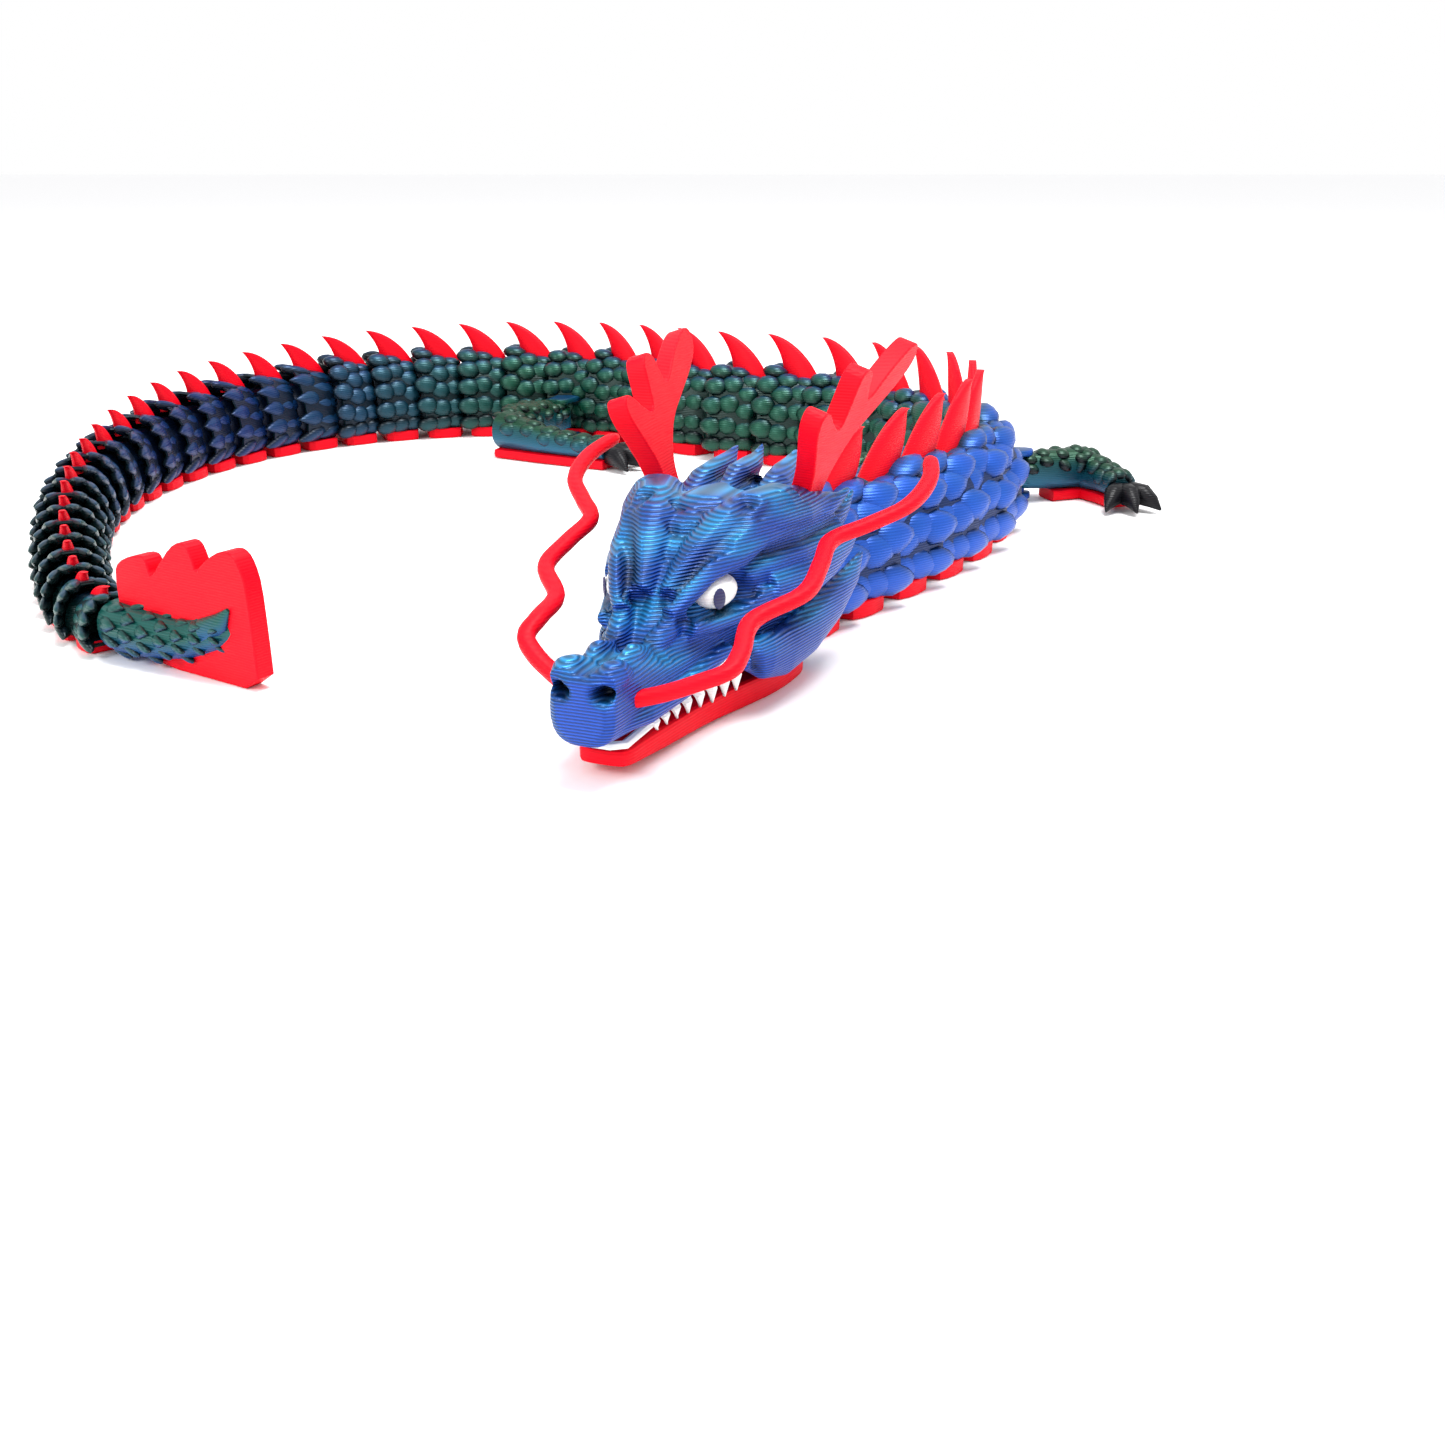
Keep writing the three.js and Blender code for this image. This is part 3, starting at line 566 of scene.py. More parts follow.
clay = bmesh.new()
SKULL = [  # d, middle of the height, half across, half up
    (-1.3, 6.6, 2.1, 2.3), (-0.8, 6.6, 2.7, 3.0), (3, 6.4, 3.2, 3.1), (7, 6.2, 3.6, 2.7),
    (10, 6.2, 4.0, 2.6), (12.5, 6.8, 4.3, 3.1), (15.5, 7.8, 4.6, 4.1), (18.5, 8.8, 5.3, 5.4),
    (22, 9.4, 6.3, 6.9), (27, 9.5, 7.4, 7.3), (32, 9.0, 7.8, 6.9), (35.5, 8.2, 7.0, 6.0),
    (37.2, 7.6, 5.8, 5.0),
]
tube(clay, [(at(d, 0, mid), across, up) for d, mid, across, up in SKULL], sides=32, power=0.72)
LUMPS = {  # one side: (d, lat, z, half across, half up) along each ridge
    "nose": [(-0.6, 1.8, 8.7, 0.9, 0.9), (0.8, 1.8, 9.0, 1.35, 1.1), (2.6, 1.8, 8.8, 1.0, 0.9)],
    "second bump": [(3.6, 1.3, 8.7, 0.8, 0.8), (5.2, 1.3, 8.9, 1.1, 1.1), (7.2, 1.3, 8.5, 0.9, 0.8)],
    "lip": [(0.8, 2.2, 4.9, 0.5, 0.6), (4, 3.2, 4.9, 0.7, 0.8), (10, 4.3, 5.4, 0.7, 0.8),
            (13, 4.7, 6.1, 0.6, 0.7), (16, 5.4, 6.8, 0.6, 0.6)],
    "nose line": [(7.5, 1.3, 8.5, 0.9, 0.8), (10.5, 2.0, 9.4, 1.0, 0.9), (12.2, 2.5, 10.7, 0.9, 0.9)],
    "brow": [(11.0, 2.0, 10.7, 0.8, 0.8), (12.6, 2.8, 11.9, 1.0, 0.95), (15, 3.9, 13.2, 1.0, 1.0),
             (18, 5.0, 13.8, 1.1, 1.0), (22, 6.0, 14.5, 1.2, 1.1), (27, 7.3, 14.8, 1.1, 1.1),
             (32, 8.9, 15.4, 0.8, 0.8), (35.5, 9.8, 16.4, 0.25, 0.25)],
    "upper brow": [(13.0, 1.5, 11.6, 1.2, 1.0), (17, 2.4, 14.2, 1.9, 1.3), (20.5, 3.2, 15.9, 2.3, 1.4),
                   (24, 4.4, 16.6, 2.4, 1.5), (28, 5.8, 16.7, 2.4, 1.5)],
    "brow slope": [(18, 4.6, 14.4, 0.9, 0.9), (21, 5.2, 15.3, 1.3, 1.3), (24.5, 6.2, 15.6, 1.6, 1.5),
                   (28, 7.2, 15.6, 1.7, 1.5), (31.5, 8.0, 15.5, 1.3, 1.3), (34, 8.8, 15.8, 0.6, 0.6)],
    "temple": [(19.6, 5.2, 11.5, 1.0, 1.3), (22, 6.2, 12.2, 1.4, 1.8), (26, 7.6, 12.6, 1.5, 2.0),
               (30, 8.8, 13.0, 1.2, 1.7), (33, 9.4, 13.6, 0.8, 1.0)],
    "under eye": [(11.5, 3.6, 9.6, 0.8, 0.8), (14, 4.5, 9.1, 0.9, 0.9), (18, 5.8, 9.3, 1.0, 0.9),
                  (21, 6.8, 10.4, 0.9, 0.8)],
    "antler block": [(25.2, 5.5, 15.6, 1.8, 2.0), (26.2, 5.8, 15.9, 2.2, 2.3), (30, 6.6, 15.4, 2.4, 2.2),
                     (33, 7.1, 14.9, 2.1, 1.8)],
    "cheek": [(17.2, 6.3, 5.9, 0.8, 1.3), (20, 7.0, 4.9, 1.3, 2.0), (23.3, 7.6, 4.4, 1.4, 2.3),
              (28, 8.4, 5.0, 1.4, 2.4), (33, 9.2, 6.3, 1.2, 2.0), (37, 9.9, 8.0, 0.8, 1.2),
              (39.4, 10.2, 9.6, 0.2, 0.25)],
    "cheek plate": [(21, 7.3, 10.6, 0.8, 1.2), (25, 8.7, 10.2, 1.1, 1.8), (30, 9.5, 10.6, 1.0, 1.7),
                    (34, 10.1, 11.6, 0.7, 1.1), (37, 10.5, 12.8, 0.2, 0.25)],
    "frill": [(29, 8.6, 12.9, 0.9, 1.1), (33, 9.0, 13.2, 0.9, 1.1), (36.5, 9.2, 14.4, 0.5, 0.7),
              (38.8, 9.3, 15.6, 0.15, 0.2)],
    "crest": [(29, 3.4, 15.0, 1.7, 1.6), (33.5, 3.4, 16.2, 1.8, 1.8), (36.5, 3.2, 16.8, 1.4, 1.5),
              (39, 3.1, 17.6, 0.8, 0.8), (41, 3.0, 18.5, 0.15, 0.2)],
}
MIDDLE = {
    "forehead": [(10, 0, 7.6, 1.2, 1.0), (13, 0, 9.6, 1.6, 1.1), (17, 0, 12.8, 2.2, 1.3),
                 (20.9, 0, 15.3, 3.0, 1.3), (24, 0, 16.3, 3.4, 1.3), (29, 0, 16.3, 3.0, 1.3)],
    "crest": [(29, 0, 15.8, 1.5, 1.5), (33, 0, 16.8, 1.7, 1.8), (36, 0, 17.3, 1.3, 1.4),
              (38, 0, 18.0, 0.7, 0.7), (39.8, 0, 19.0, 0.15, 0.2)],
}
for ridge in MIDDLE.values():
    tube(clay, [(at(d, lat, z), across, up) for d, lat, z, across, up in ridge])
for ridge in LUMPS.values():
    for side in (1, -1):
        tube(clay, [(at(d, side * lat, z), across, up) for d, lat, z, across, up in ridge])
bmesh.ops.recalc_face_normals(clay, faces=clay.faces)
lump = bpy.data.meshes.new("head_clay")
clay.to_mesh(lump)
clay.free()
maker = bpy.data.objects.new("head_clay", lump)
bpy.context.scene.collection.objects.link(maker)
melt = maker.modifiers.new("melt", "REMESH")
melt.mode = "VOXEL"
melt.voxel_size = VOXEL
bpy.context.view_layer.update()
skin = bpy.data.meshes.new_from_object(maker.evaluated_get(bpy.context.evaluated_depsgraph_get()))
bpy.data.objects.remove(maker)
print("head skin:", len(skin.vertices), "points")

# %% [markdown]
# The creases: between the nose bumps, over and under the eye, up the forehead, round the cheek
# plates and in the frill. Each is pressed in along a line and darkened with painted shade, because
# little light reaches the bottom of a printed groove. The nostrils and the eye hollows are pressed
# in and given painted shade too.

# %% Head creases
CREASES = [  # width, depth, then (d, lat, z) points of one side
    (0.7, 0.55, [(-1, 0, 10), (2, 0, 10), (6, 0, 9.8), (9, 0, 8.8)]),
    (0.6, 0.5, [(3.1, 0.3, 10), (3.1, 1.7, 10.2), (3.0, 3.0, 9.2)]),
    (0.6, 0.4, [(7.9, 0.3, 9), (8.1, 1.8, 9.4), (7.6, 3.4, 8.4)]),
    (0.5, 0.25, [(11.2, 0.9, 10), (14.5, 1.0, 12.2), (17, 1.2, 14.2)]),
    (0.75, 1.25, [(11.8, 1.9, 11.6), (13.6, 2.5, 13.0), (16.5, 3.5, 14.6), (20, 4.5, 16.0),
                  (22.5, 4.7, 17.4)]),
    (0.5, 0.45, [(18.6, 0.4, 15.4), (19.4, 1.5, 15.8)]),
    (0.5, 0.45, [(21.5, 1.0, 16.9), (22.2, 2.0, 17.1)]),
    (0.5, 0.35, [(22, 1.6, 17.6), (24.5, 2.6, 18), (27, 3.2, 18)]),
    (0.5, 0.3, [(21.5, 5.9, 16.4), (23.5, 6.3, 17.2)]),
    (0.5, 0.5, [(11, 3.2, 10.2), (12.5, 4.0, 10.1), (16, 5.2, 10.1), (19.5, 6.5, 10.8)]),
    (0.7, 0.5, [(9, 3.6, 8.4), (13, 5.0, 8.1), (17, 6.4, 7.9), (21, 7.6, 7.8)]),
    (0.9, 1.3, [(22, 7.9, 7.8), (26, 9.0, 7.8), (30, 9.8, 8.6), (35, 10.2, 10)]),
    (0.6, 0.6, [(19.5, 5.6, 13.4), (22, 7.3, 13.6), (27, 9.0, 13.9), (32, 10.0, 14.4)]),
    (0.6, 0.7, [(17.6, 6.6, 7), (17.6, 7.0, 5.4), (18.2, 7.2, 3.6)]),
    (0.7, 0.9, [(29, 1.6, 17.5), (33, 1.6, 17.4), (37, 1.6, 17)]),
    (0.5, 0.45, [(16.4, 0.2, 13.6), (17.4, 1.4, 14.2), (18.4, 2.6, 15.0)]),
]
NOSTRIL_RADIUS, NOSTRIL_DEPTH, NOSTRIL = 0.95, 1.9, (-1.2, 1.75, 8.0)
NOSTRIL_SHAPE = (2.2, 1, 0.8)  # its reach in x, y and z, as shares of the radius
EYE = (16.5, 3.9, 11.4)
EYE_SIZE = (2.8, 1.75, 1.38)

count = len(skin.vertices)
co, normals = np.empty(count * 3), np.empty(count * 3)
skin.vertices.foreach_get("co", co)
skin.vertices.foreach_get("normal", normals)
co, normals = co.reshape(-1, 3), normals.reshape(-1, 3)
# how much painted shade each point of the head gets, in creases, nostrils and eye hollows
painted_shade = np.zeros(count)
rest = co.copy()


def line_distance(points, a, b):
    run = b - a
    t = np.clip(((points - a) @ run) / (run @ run), 0, 1)
    return np.linalg.norm(points - a - t[:, None] * run, axis=1)


for width, depth, line in CREASES:
    for side in (1, -1):
        ends = [np.array(at(d, side * lat, z)) for d, lat, z in line]
        near = np.min([line_distance(rest, a, b) for a, b in zip(ends, ends[1:])], axis=0)
        press = np.clip(1 - near / (width * 1.6), 0, 1) ** 1.5
        co -= normals * (press * depth)[:, None]
        # painted shade along the crease, stronger where it is deeper
        painted_shade = np.maximum(painted_shade, press * min(1, depth + 0.2))
for side in (1, -1):
    middle = np.array(at(NOSTRIL[0], side * NOSTRIL[1], NOSTRIL[2]))
    offset = (rest - middle) / NOSTRIL_SHAPE
    press = np.clip(1.6 * (1 - np.linalg.norm(offset, axis=1) / NOSTRIL_RADIUS), 0, 1)
    co[:, 0] += press * NOSTRIL_DEPTH
    # painted shade in the nostril
    painted_shade = np.maximum(painted_shade, press * 1.3)
for side in (1, -1):  # the eye's hollow
    middle = np.array(at(EYE[0], side * EYE[1], EYE[2]))
    away = rest - middle
    far = np.linalg.norm(away[:, ::2] / (EYE_SIZE[0] + 0.25, EYE_SIZE[2] + 0.25), axis=1)
    inside = np.clip((1 - far) * 4, 0, 1) * (-side * rest[:, 1] > EYE[1] - 0.3)
    co[:, 1] += side * inside * np.clip(-side * co[:, 1] - EYE[1], 0, 3)
    # painted shade in the eye's hollow
    painted_shade = np.maximum(painted_shade, inside)
skin.vertices.foreach_set("co", co.ravel())
skin.update()
print("creases a side:", len(CREASES))

# %% [markdown]
# The head is vivid blue, turning teal and green where a slope lets the second colour of the
# filament show. The light sky blue on its upward slopes, in swirls, is a painted highlight, and its
# creases, nostrils and eye hollows get painted shade.

# %% Head finish
bm = bmesh.new()
bm.from_mesh(skin)
bmesh.ops.smooth_vert(bm, verts=bm.verts, factor=0.4, use_axis_x=True, use_axis_y=True, use_axis_z=True)
bm.normal_update()
layer = bm.verts.layers.float_color.new("silk")
bm.verts.ensure_lookup_table()
for v in bm.verts:
    swirl = 0.5 + 0.5 * math.sin(v.co.x * 0.55 + v.co.z * 0.8 + 1.3 * math.sin(v.co.y * 0.5))
    # painted highlight: upward slopes lighten towards sky blue, in swirls
    colour = mix(BLUE, HIGHLIGHT_SKY, 0.75 * max(0, v.normal.z) * swirl)
    colour = mix(colour, GREEN, 0.75 * max(0, 0.3 - v.normal.x * 0.5) * max(0, v.normal.z) * (1 - swirl))
    colour = mix(colour, CHEEK_GREEN, 0.7 * max(0, v.normal.y) * max(0, 1 - v.co.z / 30))
    # painted shade in the creases, nostrils and eye hollows darkens the colour towards DARK
    v[layer] = (*mix(colour, DARK, 0.95 * min(1, painted_shade[v.index])), 1)
bmesh.ops.transform(bm, matrix=places["head"] @ Matrix.Scale(MM, 4), verts=bm.verts)
bm.to_mesh(skin)
bm.free()
finish_mesh("head_skin", skin, "head", SILK_HEAD, ["head_shell"], angle=75)
print("head faces:", len(skin.polygons))

# %% [markdown]
# Set into the head: white eyes with navy pupils, the white upper teeth as a row of pointed cones
# that grow towards the corner of the mouth, on a strip behind the lip, and the red jaw slab.

# %% Eyes, teeth and jaw


def ball(bm, centre, size, sides=24):
    made = bmesh.ops.create_uvsphere(bm, u_segments=sides, v_segments=sides // 2, radius=1)["verts"]
    bmesh.ops.scale(bm, verts=made, vec=size)
    bmesh.ops.translate(bm, verts=made, vec=centre)


PUPIL_SIZE, PUPIL_TURN = (0.62, 0.14, 0.9), 46  # mm; degrees ahead of straight sideways
for side, name in ((1, "left"), (-1, "right")):
    bm = bmesh.new()
    ball(bm, at(EYE[0], side * EYE[1], EYE[2]), EYE_SIZE)
    finish_piece(f"eye_white_{name}", bm, places["head"], "head", WHITE, [f"eye_{name}"], angle=80)
    bm = bmesh.new()
    ball(bm, (0, 0, 0), PUPIL_SIZE, 16)
    around = math.radians(PUPIL_TURN)
    gaze = at(EYE[0] - EYE_SIZE[0] * math.sin(around),
              side * (EYE[1] + EYE_SIZE[1] * math.cos(around)), EYE[2] - 0.05)
    slant = math.atan2(EYE_SIZE[1] * math.sin(around), EYE_SIZE[0] * math.cos(around))
    turned = Matrix.Translation(gaze) @ Matrix.Rotation(-side * slant, 4, "Z")
    bmesh.ops.transform(bm, matrix=turned, verts=bm.verts)
    finish_piece(f"pupil_{name}", bm, places["head"], "head", PUPIL, angle=80)

MOUTH = [(-0.9, 1.6, 4.0), (1, 2.6, 3.9), (4, 2.9, 4.0), (7, 3.2, 4.3), (10, 3.8, 4.9), (13, 4.8, 5.5),
         (16.3, 6.0, 6.2)]
TEETH, TEETH_START, TEETH_RUN = 8, 6.2, 10.2  # a side; mm behind the nostrils
bm = bmesh.new()
for side in (1, -1):
    for k in range(TEETH):
        d = TEETH_START + TEETH_RUN * k / (TEETH - 1)
        lat = along([(p[0], p[1]) for p in MOUTH], d) - 0.15
        top = along([(p[0], p[2]) for p in MOUTH], d)
        low = top - along([(6, 1.4), (16, 3.3)], d) * random.uniform(0.95, 1.05)
        wide = along([(6, 0.6), (16, 1.0)], d)
        tube(bm, [(at(d, side * lat, low), 0.12, 0.12),
                  (at(d, side * lat, low + 0.4 * (top - low)), 0.45, 0.55 * wide),
                  (at(d, side * (lat - 0.9), top - 0.2), 0.5, wide)], sides=8)
    tube(bm, [(at(d, side * (lat - 1.0), z - 0.3), 0.5, 0.8) for d, lat, z in MOUTH[3:]], sides=8)
FRONT_TEETH = [(7, 2.4, 3.2), (2, 2.1, 3.0), (1.4, 1.2, 3.0)]  # one side, towards the middle
front_teeth = FRONT_TEETH + [(d, -lat, z) for d, lat, z in reversed(FRONT_TEETH)]
tube(bm, [(at(d, lat, z), 0.4, 0.35) for d, lat, z in front_teeth], sides=8)
finish_piece("teeth", bm, places["head"], "head", WHITE, ["upper_teeth"], angle=35)

JAW = [(2.0, 1.2), (2.5, 2.2), (5, 2.5), (9, 3.1), (15.4, 4.2), (20, 5.5), (24, 6.8), (28, 7.4),
       (31.4, 7.4), (31.4, 5)]
JAW_THICKNESS = 2.3
outline = [(d - HEAD_LENGTH, -lat) for d, lat in JAW]
outline += [(x, -y) for x, y in reversed(outline)]
bm = bmesh.new()
plate(bm, smooth_outline(outline, 2), JAW_THICKNESS, edge=0.35, upright=False)
for v in bm.verts:
    if v.co.z < 1:
        v.co.z += along([(2, 0.9), (8, 0.45), (20, 0)], v.co.x + HEAD_LENGTH)
finish_piece("jaw_slab", bm, places["head"], "head", RED, ["lower_jaw"], angle=20)
print("side teeth:", 2 * TEETH)

# %% [markdown]
# Antlers are flat plates printed on their side and pushed into the head: a foot, a low front
# prong, a middle prong and a long rear one, all with round ends. Whiskers are thin wavy strips.

# %% Antlers and whiskers
ANTLER_FOOT, ANTLER_LEAN, ANTLER_SPLAY = (31.6, 7.1, 17.2), math.radians(18), math.radians(4)
ANTLER_THICKNESS = 1.9
ANTLER = [(-1.7, -2.4), (1.7, -2.4), (1.7, 0.4), (3.4, 2.6), (5.6, 4.4), (9.6, 6.0), (14.6, 8.0),
          (17.4, 9.8), (17.2, 11.6), (15.2, 11.8), (10.4, 9.8), (6.4, 7.2), (5.6, 8.6), (5.0, 10.4),
          (3.4, 10.9), (2.0, 10.2), (1.6, 7.6), (0.9, 5.4), (-1.4, 6.4), (-3.6, 8.0), (-5.1, 7.8),
          (-5.3, 6.2), (-3.4, 3.6), (-1.8, 1)]
WHISKER = [(1.4, 1.0, 6.4), (2.2, 2.0, 6.5), (3.4, 4.6, 7.1), (4.4, 7, 8.0), (5.8, 8.8, 8.8),
           (8.1, 8.9, 9.6), (12.2, 8.7, 10.7), (16.6, 11.6, 11.9), (21, 11.6, 13.1), (25.1, 11.3, 14.2),
           (28.4, 13.6, 15), (32.1, 16.2, 16.1), (36.9, 16.9, 17.4), (41.3, 15.9, 18.5),
           (42.6, 15.3, 18.8)]
WHISKER_HALF = (0.75, 0.62)  # half across, half up
SWAY = {1: 0.4, -1: 1.0}  # mm; the soft strips lean a little to the left near their roots


def through(points, steps):
    """A smooth path through points, Catmull-Rom fashion."""
    made = []
    for k in range(1, len(points) - 2):
        p = [Vector(q) for q in points[k - 1:k + 3]]
        for step in range(steps):
            t = step / steps
            made.append(0.5 * (2 * p[1] + (p[2] - p[0]) * t + (2 * p[0] - 5 * p[1] + 4 * p[2] - p[3]) * t * t
                               + (3 * p[1] - p[0] - 3 * p[2] + p[3]) * t ** 3))
    made.append(Vector(points[-2]))
    return made


for side, name in ((1, "left"), (-1, "right")):
    bm = bmesh.new()
    plate(bm, smooth_outline(ANTLER, 2), ANTLER_THICKNESS, edge=0.15)
    lean = Matrix.Rotation(-side * ANTLER_SPLAY, 4, "Z") @ Matrix.Rotation(side * ANTLER_LEAN, 4, "X")
    foot = Matrix.Translation(at(ANTLER_FOOT[0], side * ANTLER_FOOT[1], ANTLER_FOOT[2]))
    bmesh.ops.transform(bm, matrix=foot @ lean, verts=bm.verts)
    finish_piece(f"antler_plate_{name}", bm, places["head"], "head", RED, [f"antler_{name}"], angle=15)
    bm = bmesh.new()
    sway = [SWAY[side] * math.exp(-((d - 7.5) / 4) ** 2) for d, _, _ in WHISKER]
    route = through([at(d, side * lat + w, z - 0.7 * side * w) for (d, lat, z), w in zip(WHISKER, sway)], 6)
    ends = {0: 0.5, 1: 0.85, len(route) - 2: 0.85, len(route) - 1: 0.5}
    sizes = [ends.get(k, 1) for k in range(len(route))]
    tube(bm, [(p, WHISKER_HALF[0] * size, WHISKER_HALF[1] * size) for p, size in zip(route, sizes)],
         sides=10, power=0.75)
    finish_piece(f"whisker_strip_{name}", bm, places["head"], "head", RED, [f"whisker_{name}"], angle=70)
print("head pieces done")

# %% [markdown]
# The legs turn on their own pins. Each is a short bent limb on a flat red sole, with three black
# claws that reach towards the head.

# %% Legs
FRONT_LEG = [(0, 0, 3.9, 1.9, 2.2), (4.3, -0.4, 4.2, 2.1, 2.7), (9.6, -1.6, 4.1, 2.4, 2.9),
             (11.6, 2.2, 3.4, 2.1, 2.0), (12.6, 5.6, 2.9, 2.3, 1.5)]
HIND_LEG = [(0, 0, 3.9, 1.9, 2.2), (4.3, -0.6, 4.4, 2.2, 2.9), (9.5, -1.9, 4.6, 2.6, 3.2),
            (14, -2, 4.2, 2.6, 3.0), (15.4, 5, 3.4, 2.1, 2.0), (16.3, 11, 3.0, 1.9, 1.6),
            (16.6, 16.6, 2.9, 2.3, 1.5)]
CLAW_FAN = math.radians(38)
KNOB_TURNS, KNOB_SIZE = (20, 65, 110, 155), 0.72  # degrees round the limb; of a body scale
SINK = 0.85  # where the knobs' middles sit, share of the limb's half width and height


def leg_colour(point, normal):
    return mix(LEG_BLUE, mix(GREEN, DARK, 0.3), 0.35 + 0.5 * normal.z + 0.12 * (point.z - 3))


for which, limb in (("front", FRONT_LEG), ("hind", HIND_LEG)):
    link = LINK_NAMES[SHOULDER if which == "front" else HIP]
    for side, name in ((1, "right"), (-1, "left")):
        node = f"{which}_leg_{name}"
        yaw = places[link].to_euler().z
        place = Matrix.Translation(hinge_at[node]) @ Matrix.Rotation(yaw, 4, "Z")

        def leg_at(outward, headward, z):
            return Vector((-headward, side * outward, z))

        bm = bmesh.new()
        tube(bm, [(leg_at(0, 0, 2.5), 1.9, 1.9), (leg_at(0, 0, 5.6), 1.9, 1.9)], sides=20)
        tube(bm, [(leg_at(o, h, z), across, up) for o, h, z, across, up in limb], sides=20, power=0.85)
        for (o, h, z, across, up), after in zip(limb, limb[1:]):
            for step in range(2):
                t = (step + 0.5) / 2
                o2, h2, z2, across2, up2 = (p + (q - p) * t for p, q in zip((o, h, z, across, up), after))
                run = leg_at(after[0], after[1], 0) - leg_at(o, h, 0)
                sideways = run.normalized().cross(Vector((0, 0, 1)))
                for turn in KNOB_TURNS:
                    angle = math.radians(turn + 20 * (step % 2))
                    out = (sideways * math.cos(angle) + Vector((0, 0, 1)) * math.sin(angle)).normalized()
                    skin_point = leg_at(o2, h2, z2) + sideways * across2 * SINK * math.cos(angle)
                    skin_point += Vector((0, 0, up2 * SINK * math.sin(angle)))
                    # each knob gets painted shade at its rim, as the body's scales do
                    add_scale(bm, skin_point, out, BULB, KNOB_SIZE)
        o, h = limb[-1][:2]
        finish_piece(f"{node}_limb", bm, place, node, SILK, [node], colour=leg_colour, angle=60)
        bm = bmesh.new()
        sole = [(leg_at(o, h, 0), across) for o, h, z, across, up in limb[1:]]
        tube(bm, [(p + Vector((0, 0, 0.75)), w * 0.92, 0.75) for p, w in sole], sides=12, power=0.35)
        finish_piece(f"{node}_sole", bm, place, node, RED, angle=50)
        bm = bmesh.new()
        for fan in (-1, 0, 1):
            def claw_at(reach, z):
                return leg_at(o + reach * math.sin(fan * CLAW_FAN), h + reach * math.cos(fan * CLAW_FAN), z)
            tube(bm, [(claw_at(0.2, 1.9), 1.2, 1.3), (claw_at(1.8, 2.2), 1.35, 1.5), (claw_at(3.4, 2.2),
                                                                                      1.3, 1.4),
                      (claw_at(4.9, 1.5), 0.75, 0.9), (claw_at(6.2, 0.6), 0.12, 0.15)], sides=10, power=0.8)
        finish_piece(f"{node}_claws", bm, place, node, BLACK, angle=60)
print("legs: 4")

# %% [markdown]
# The tail ends in a narrow scaled point that climbs along a flat red fin with three lobes.

# %% Tail end
TIP = "tail_tip"
TIP_PATH = [(1.3, 2.9, 2.6, 2.4), (3.2, 2.9, 3.0, 2.6), (7.6, 2.9, 2.6, 2.4), (12, 3.3, 2.1, 2.0),
            (15.8, 4.4, 1.6, 1.7), (18.4, 5.4, 1.0, 1.2)]
bm = bmesh.new()
tube(bm, [(Vector((x, 0, z)), across, up) for x, z, across, up in TIP_PATH], sides=20, power=0.85)
tube(bm, [(Vector((-1.2, 0, 2.2)), 0.8, 1.0), (Vector((2, 0, 2.2)), 1.3, 1.2)], sides=12)
# each scale of the tail point gets painted shade at its rim
for row in range(7):
    x = 3.2 + row * 2.2
    z, across, up = (along([(p[0], p[k]) for p in TIP_PATH], x) for k in (1, 2, 3))
    for side in (1, -1):
        for k in range(4):
            angle = math.radians(-58 + 38 * (k + 0.5 * (row % 2)))
            out = Vector((0, side * math.cos(angle), math.sin(angle)))
            centre = Vector((x, out.y * across * 0.96, z + out.z * up * 0.96))
            add_scale(bm, centre, out, POINT, along([(3, 0.62), (17, 0.42)], x))
for side in (1, -1):
    tube(bm, [(Vector((15, side * 0.9, 4.6)), 0.9, 1.3), (Vector((17.7, side * 1.1, 6.0)), 0.5, 0.9),
              (Vector((18.8, side * 1.1, 7.3)), 0.15, 0.2)], sides=10)


def tip_colour(point, normal):
    return mix(mix(GREEN, TEAL, 0.35), mix(BLUE, GREEN, 0.3),
               max(0, -normal.z) + 0.35 * max(0, 0.4 - point.z / 8))


finish_piece("tail_point", bm, places[TIP], TIP, SILK, [TIP], colour=tip_colour, angle=60)
FIN = [(3, 1.2), (9, 0), (14, 0), (21.5, 0), (21.5, 5), (21.4, 9.6), (20.9, 11.4), (20.2, 12.4),
       (19.2, 12.7), (17.6, 12.2), (15.6, 10.9), (14.8, 10.0), (14.5, 11.4), (13.9, 12.5), (12.9, 12.6),
       (11.5, 11.9), (9.8, 10.2), (8.6, 8.9), (8.1, 8.8), (7.9, 10.1), (7.3, 10.6), (5.4, 10.2),
       (3.6, 9.4), (2.9, 8.4), (2.8, 4.5)]
bm = bmesh.new()
plate(bm, smooth_outline(FIN, 1), 1.9, edge=0.15)
finish_piece("tail_fin", bm, places[TIP], TIP, RED, angle=15)
print("tail fin length, mm:", max(x for x, _ in FIN) - min(x for x, _ in FIN))

# %% [markdown]
# The toy lies on a plain white table under a soft light from above and a smaller one from the
# left, in a white room, and we look down on it from in front of the head.

# %% Table, light and camera
CAMERA_HEIGHT, CAMERA_PITCH = 45, math.radians(21.64)
CAMERA_FROM_NECK = (-2.86, -134.8)  # mm from the neck hinge
SENSOR, LENS = 36, 35.87543  # mm

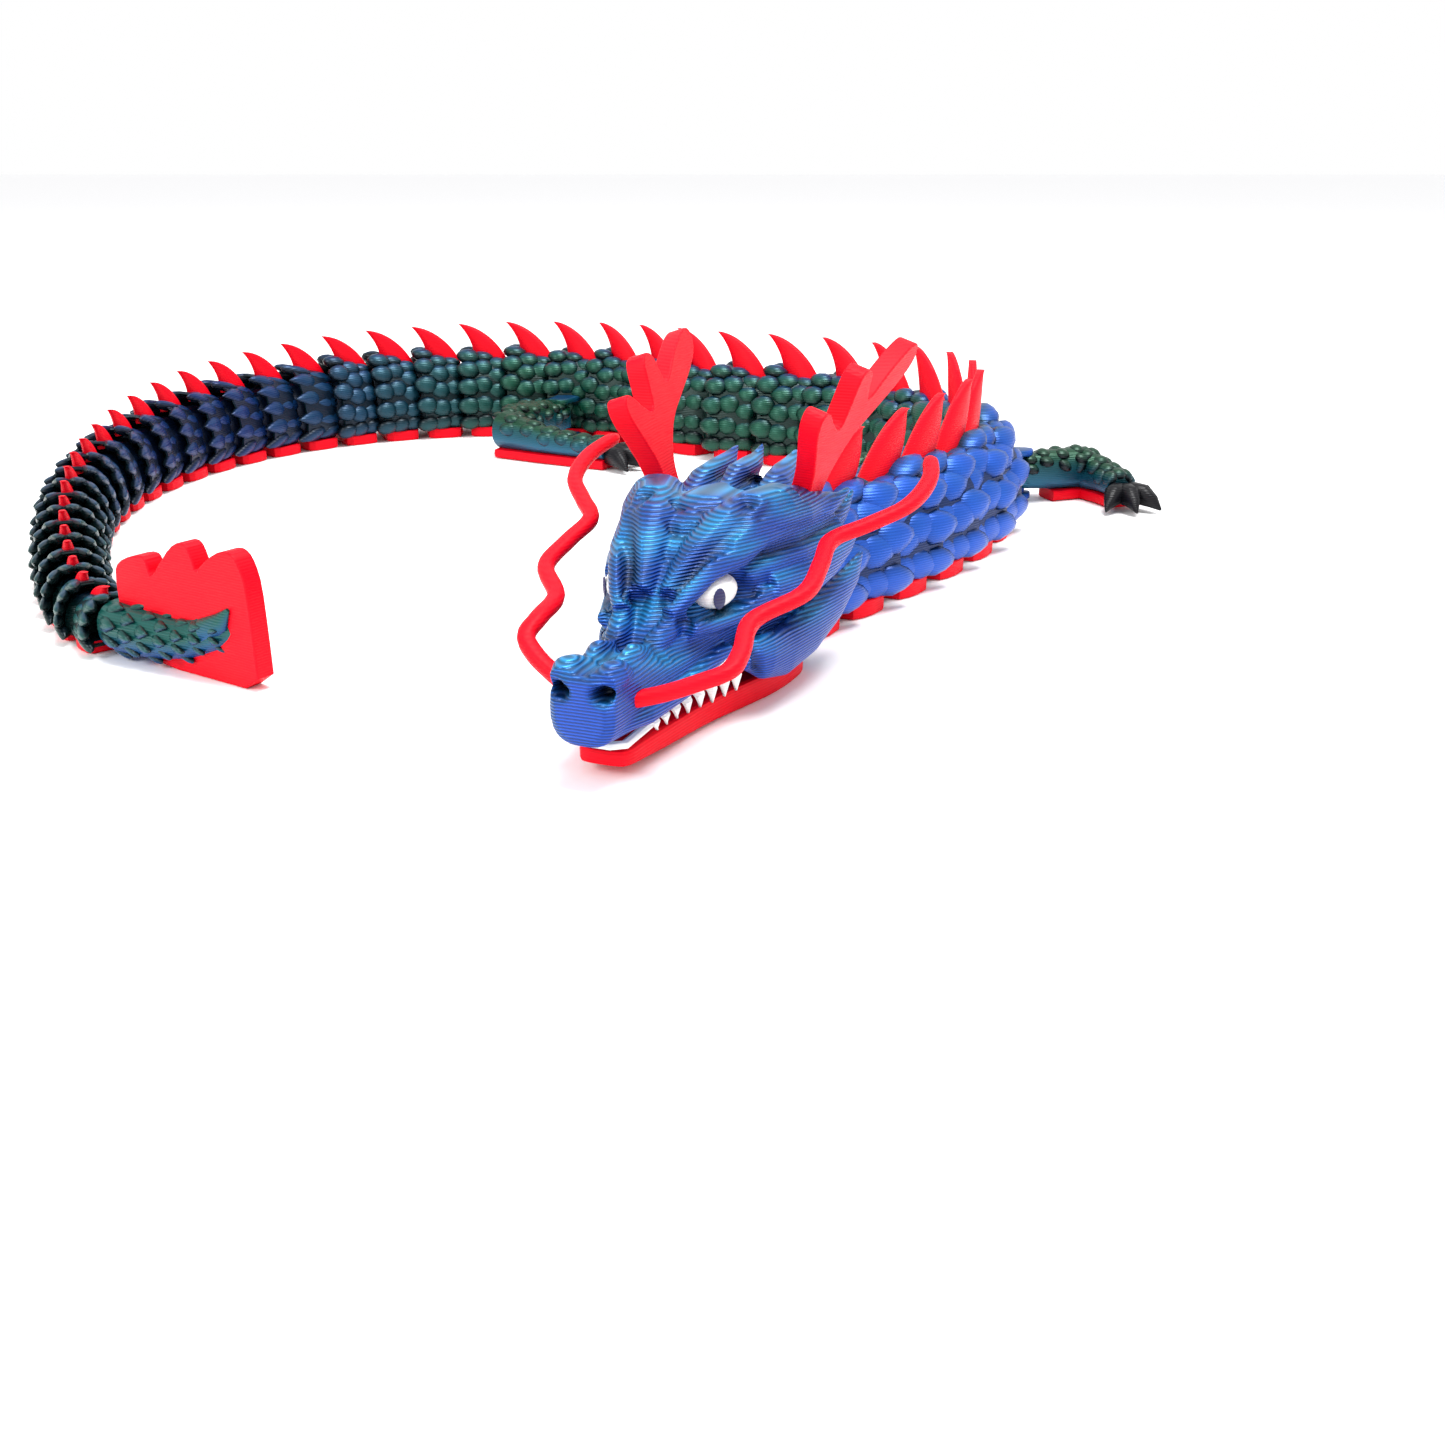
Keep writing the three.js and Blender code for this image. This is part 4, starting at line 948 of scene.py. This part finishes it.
bm = bmesh.new()
bmesh.ops.create_grid(bm, x_segments=1, y_segments=1, size=3)
floor_mesh = bpy.data.meshes.new("table")
bm.to_mesh(floor_mesh)
bm.free()
floor = bpy.data.objects.new("table", floor_mesh)
floor.location.z = -0.00005
bpy.context.scene.collection.objects.link(floor)
paper = bpy.data.materials.new("pale_table")
paper.use_nodes = True
paper_shader = paper.node_tree.nodes["Principled BSDF"]
paper_shader.inputs["Base Color"].default_value = (0.96, 0.96, 0.97, 1)
paper_shader.inputs["Roughness"].default_value = 0.8
floor_mesh.materials.append(paper)

world = bpy.data.worlds.new("studio")
world.use_nodes = True
world.node_tree.nodes["Background"].inputs["Color"].default_value = (1, 1, 1, 1)
world.node_tree.nodes["Background"].inputs["Strength"].default_value = 1.0
bpy.context.scene.world = world
bpy.context.scene.view_settings.view_transform = "Standard"
floor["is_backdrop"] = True


def soft_light(name, place, size, power):
    data = bpy.data.lights.new(name, "AREA")
    data.size, data.energy = size, power
    lamp = bpy.data.objects.new(name, data)
    lamp.location = place
    lamp.rotation_mode = "QUATERNION"
    lamp.rotation_quaternion = (-Vector(place)).to_track_quat("-Z", "Y")
    bpy.context.scene.collection.objects.link(lamp)
    lamp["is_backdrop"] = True


soft_light("light_above", (0.1, -0.05, 0.5), 0.25, 3.2)
soft_light("light_left", (-0.4, -0.35, 0.35), 0.2, 1.6)
eye_data = bpy.data.cameras.new("camera")
eye_data.sensor_width, eye_data.lens = SENSOR, LENS
eye_data.clip_start = 0.005
camera = bpy.data.objects.new("camera", eye_data)
neck = hinge_at["neck_link_01"]
camera.location = (neck.x + CAMERA_FROM_NECK[0] * MM, neck.y + CAMERA_FROM_NECK[1] * MM, CAMERA_HEIGHT * MM)
camera.rotation_euler = (math.pi / 2 - CAMERA_PITCH, 0, 0)
bpy.context.scene.collection.objects.link(camera)
bpy.context.scene.camera = camera
print("camera height, mm:", CAMERA_HEIGHT)

# %% Sizes
low, high_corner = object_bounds()
print("visual box, mm:", [round(v / MM, 1) for v in high_corner - low])
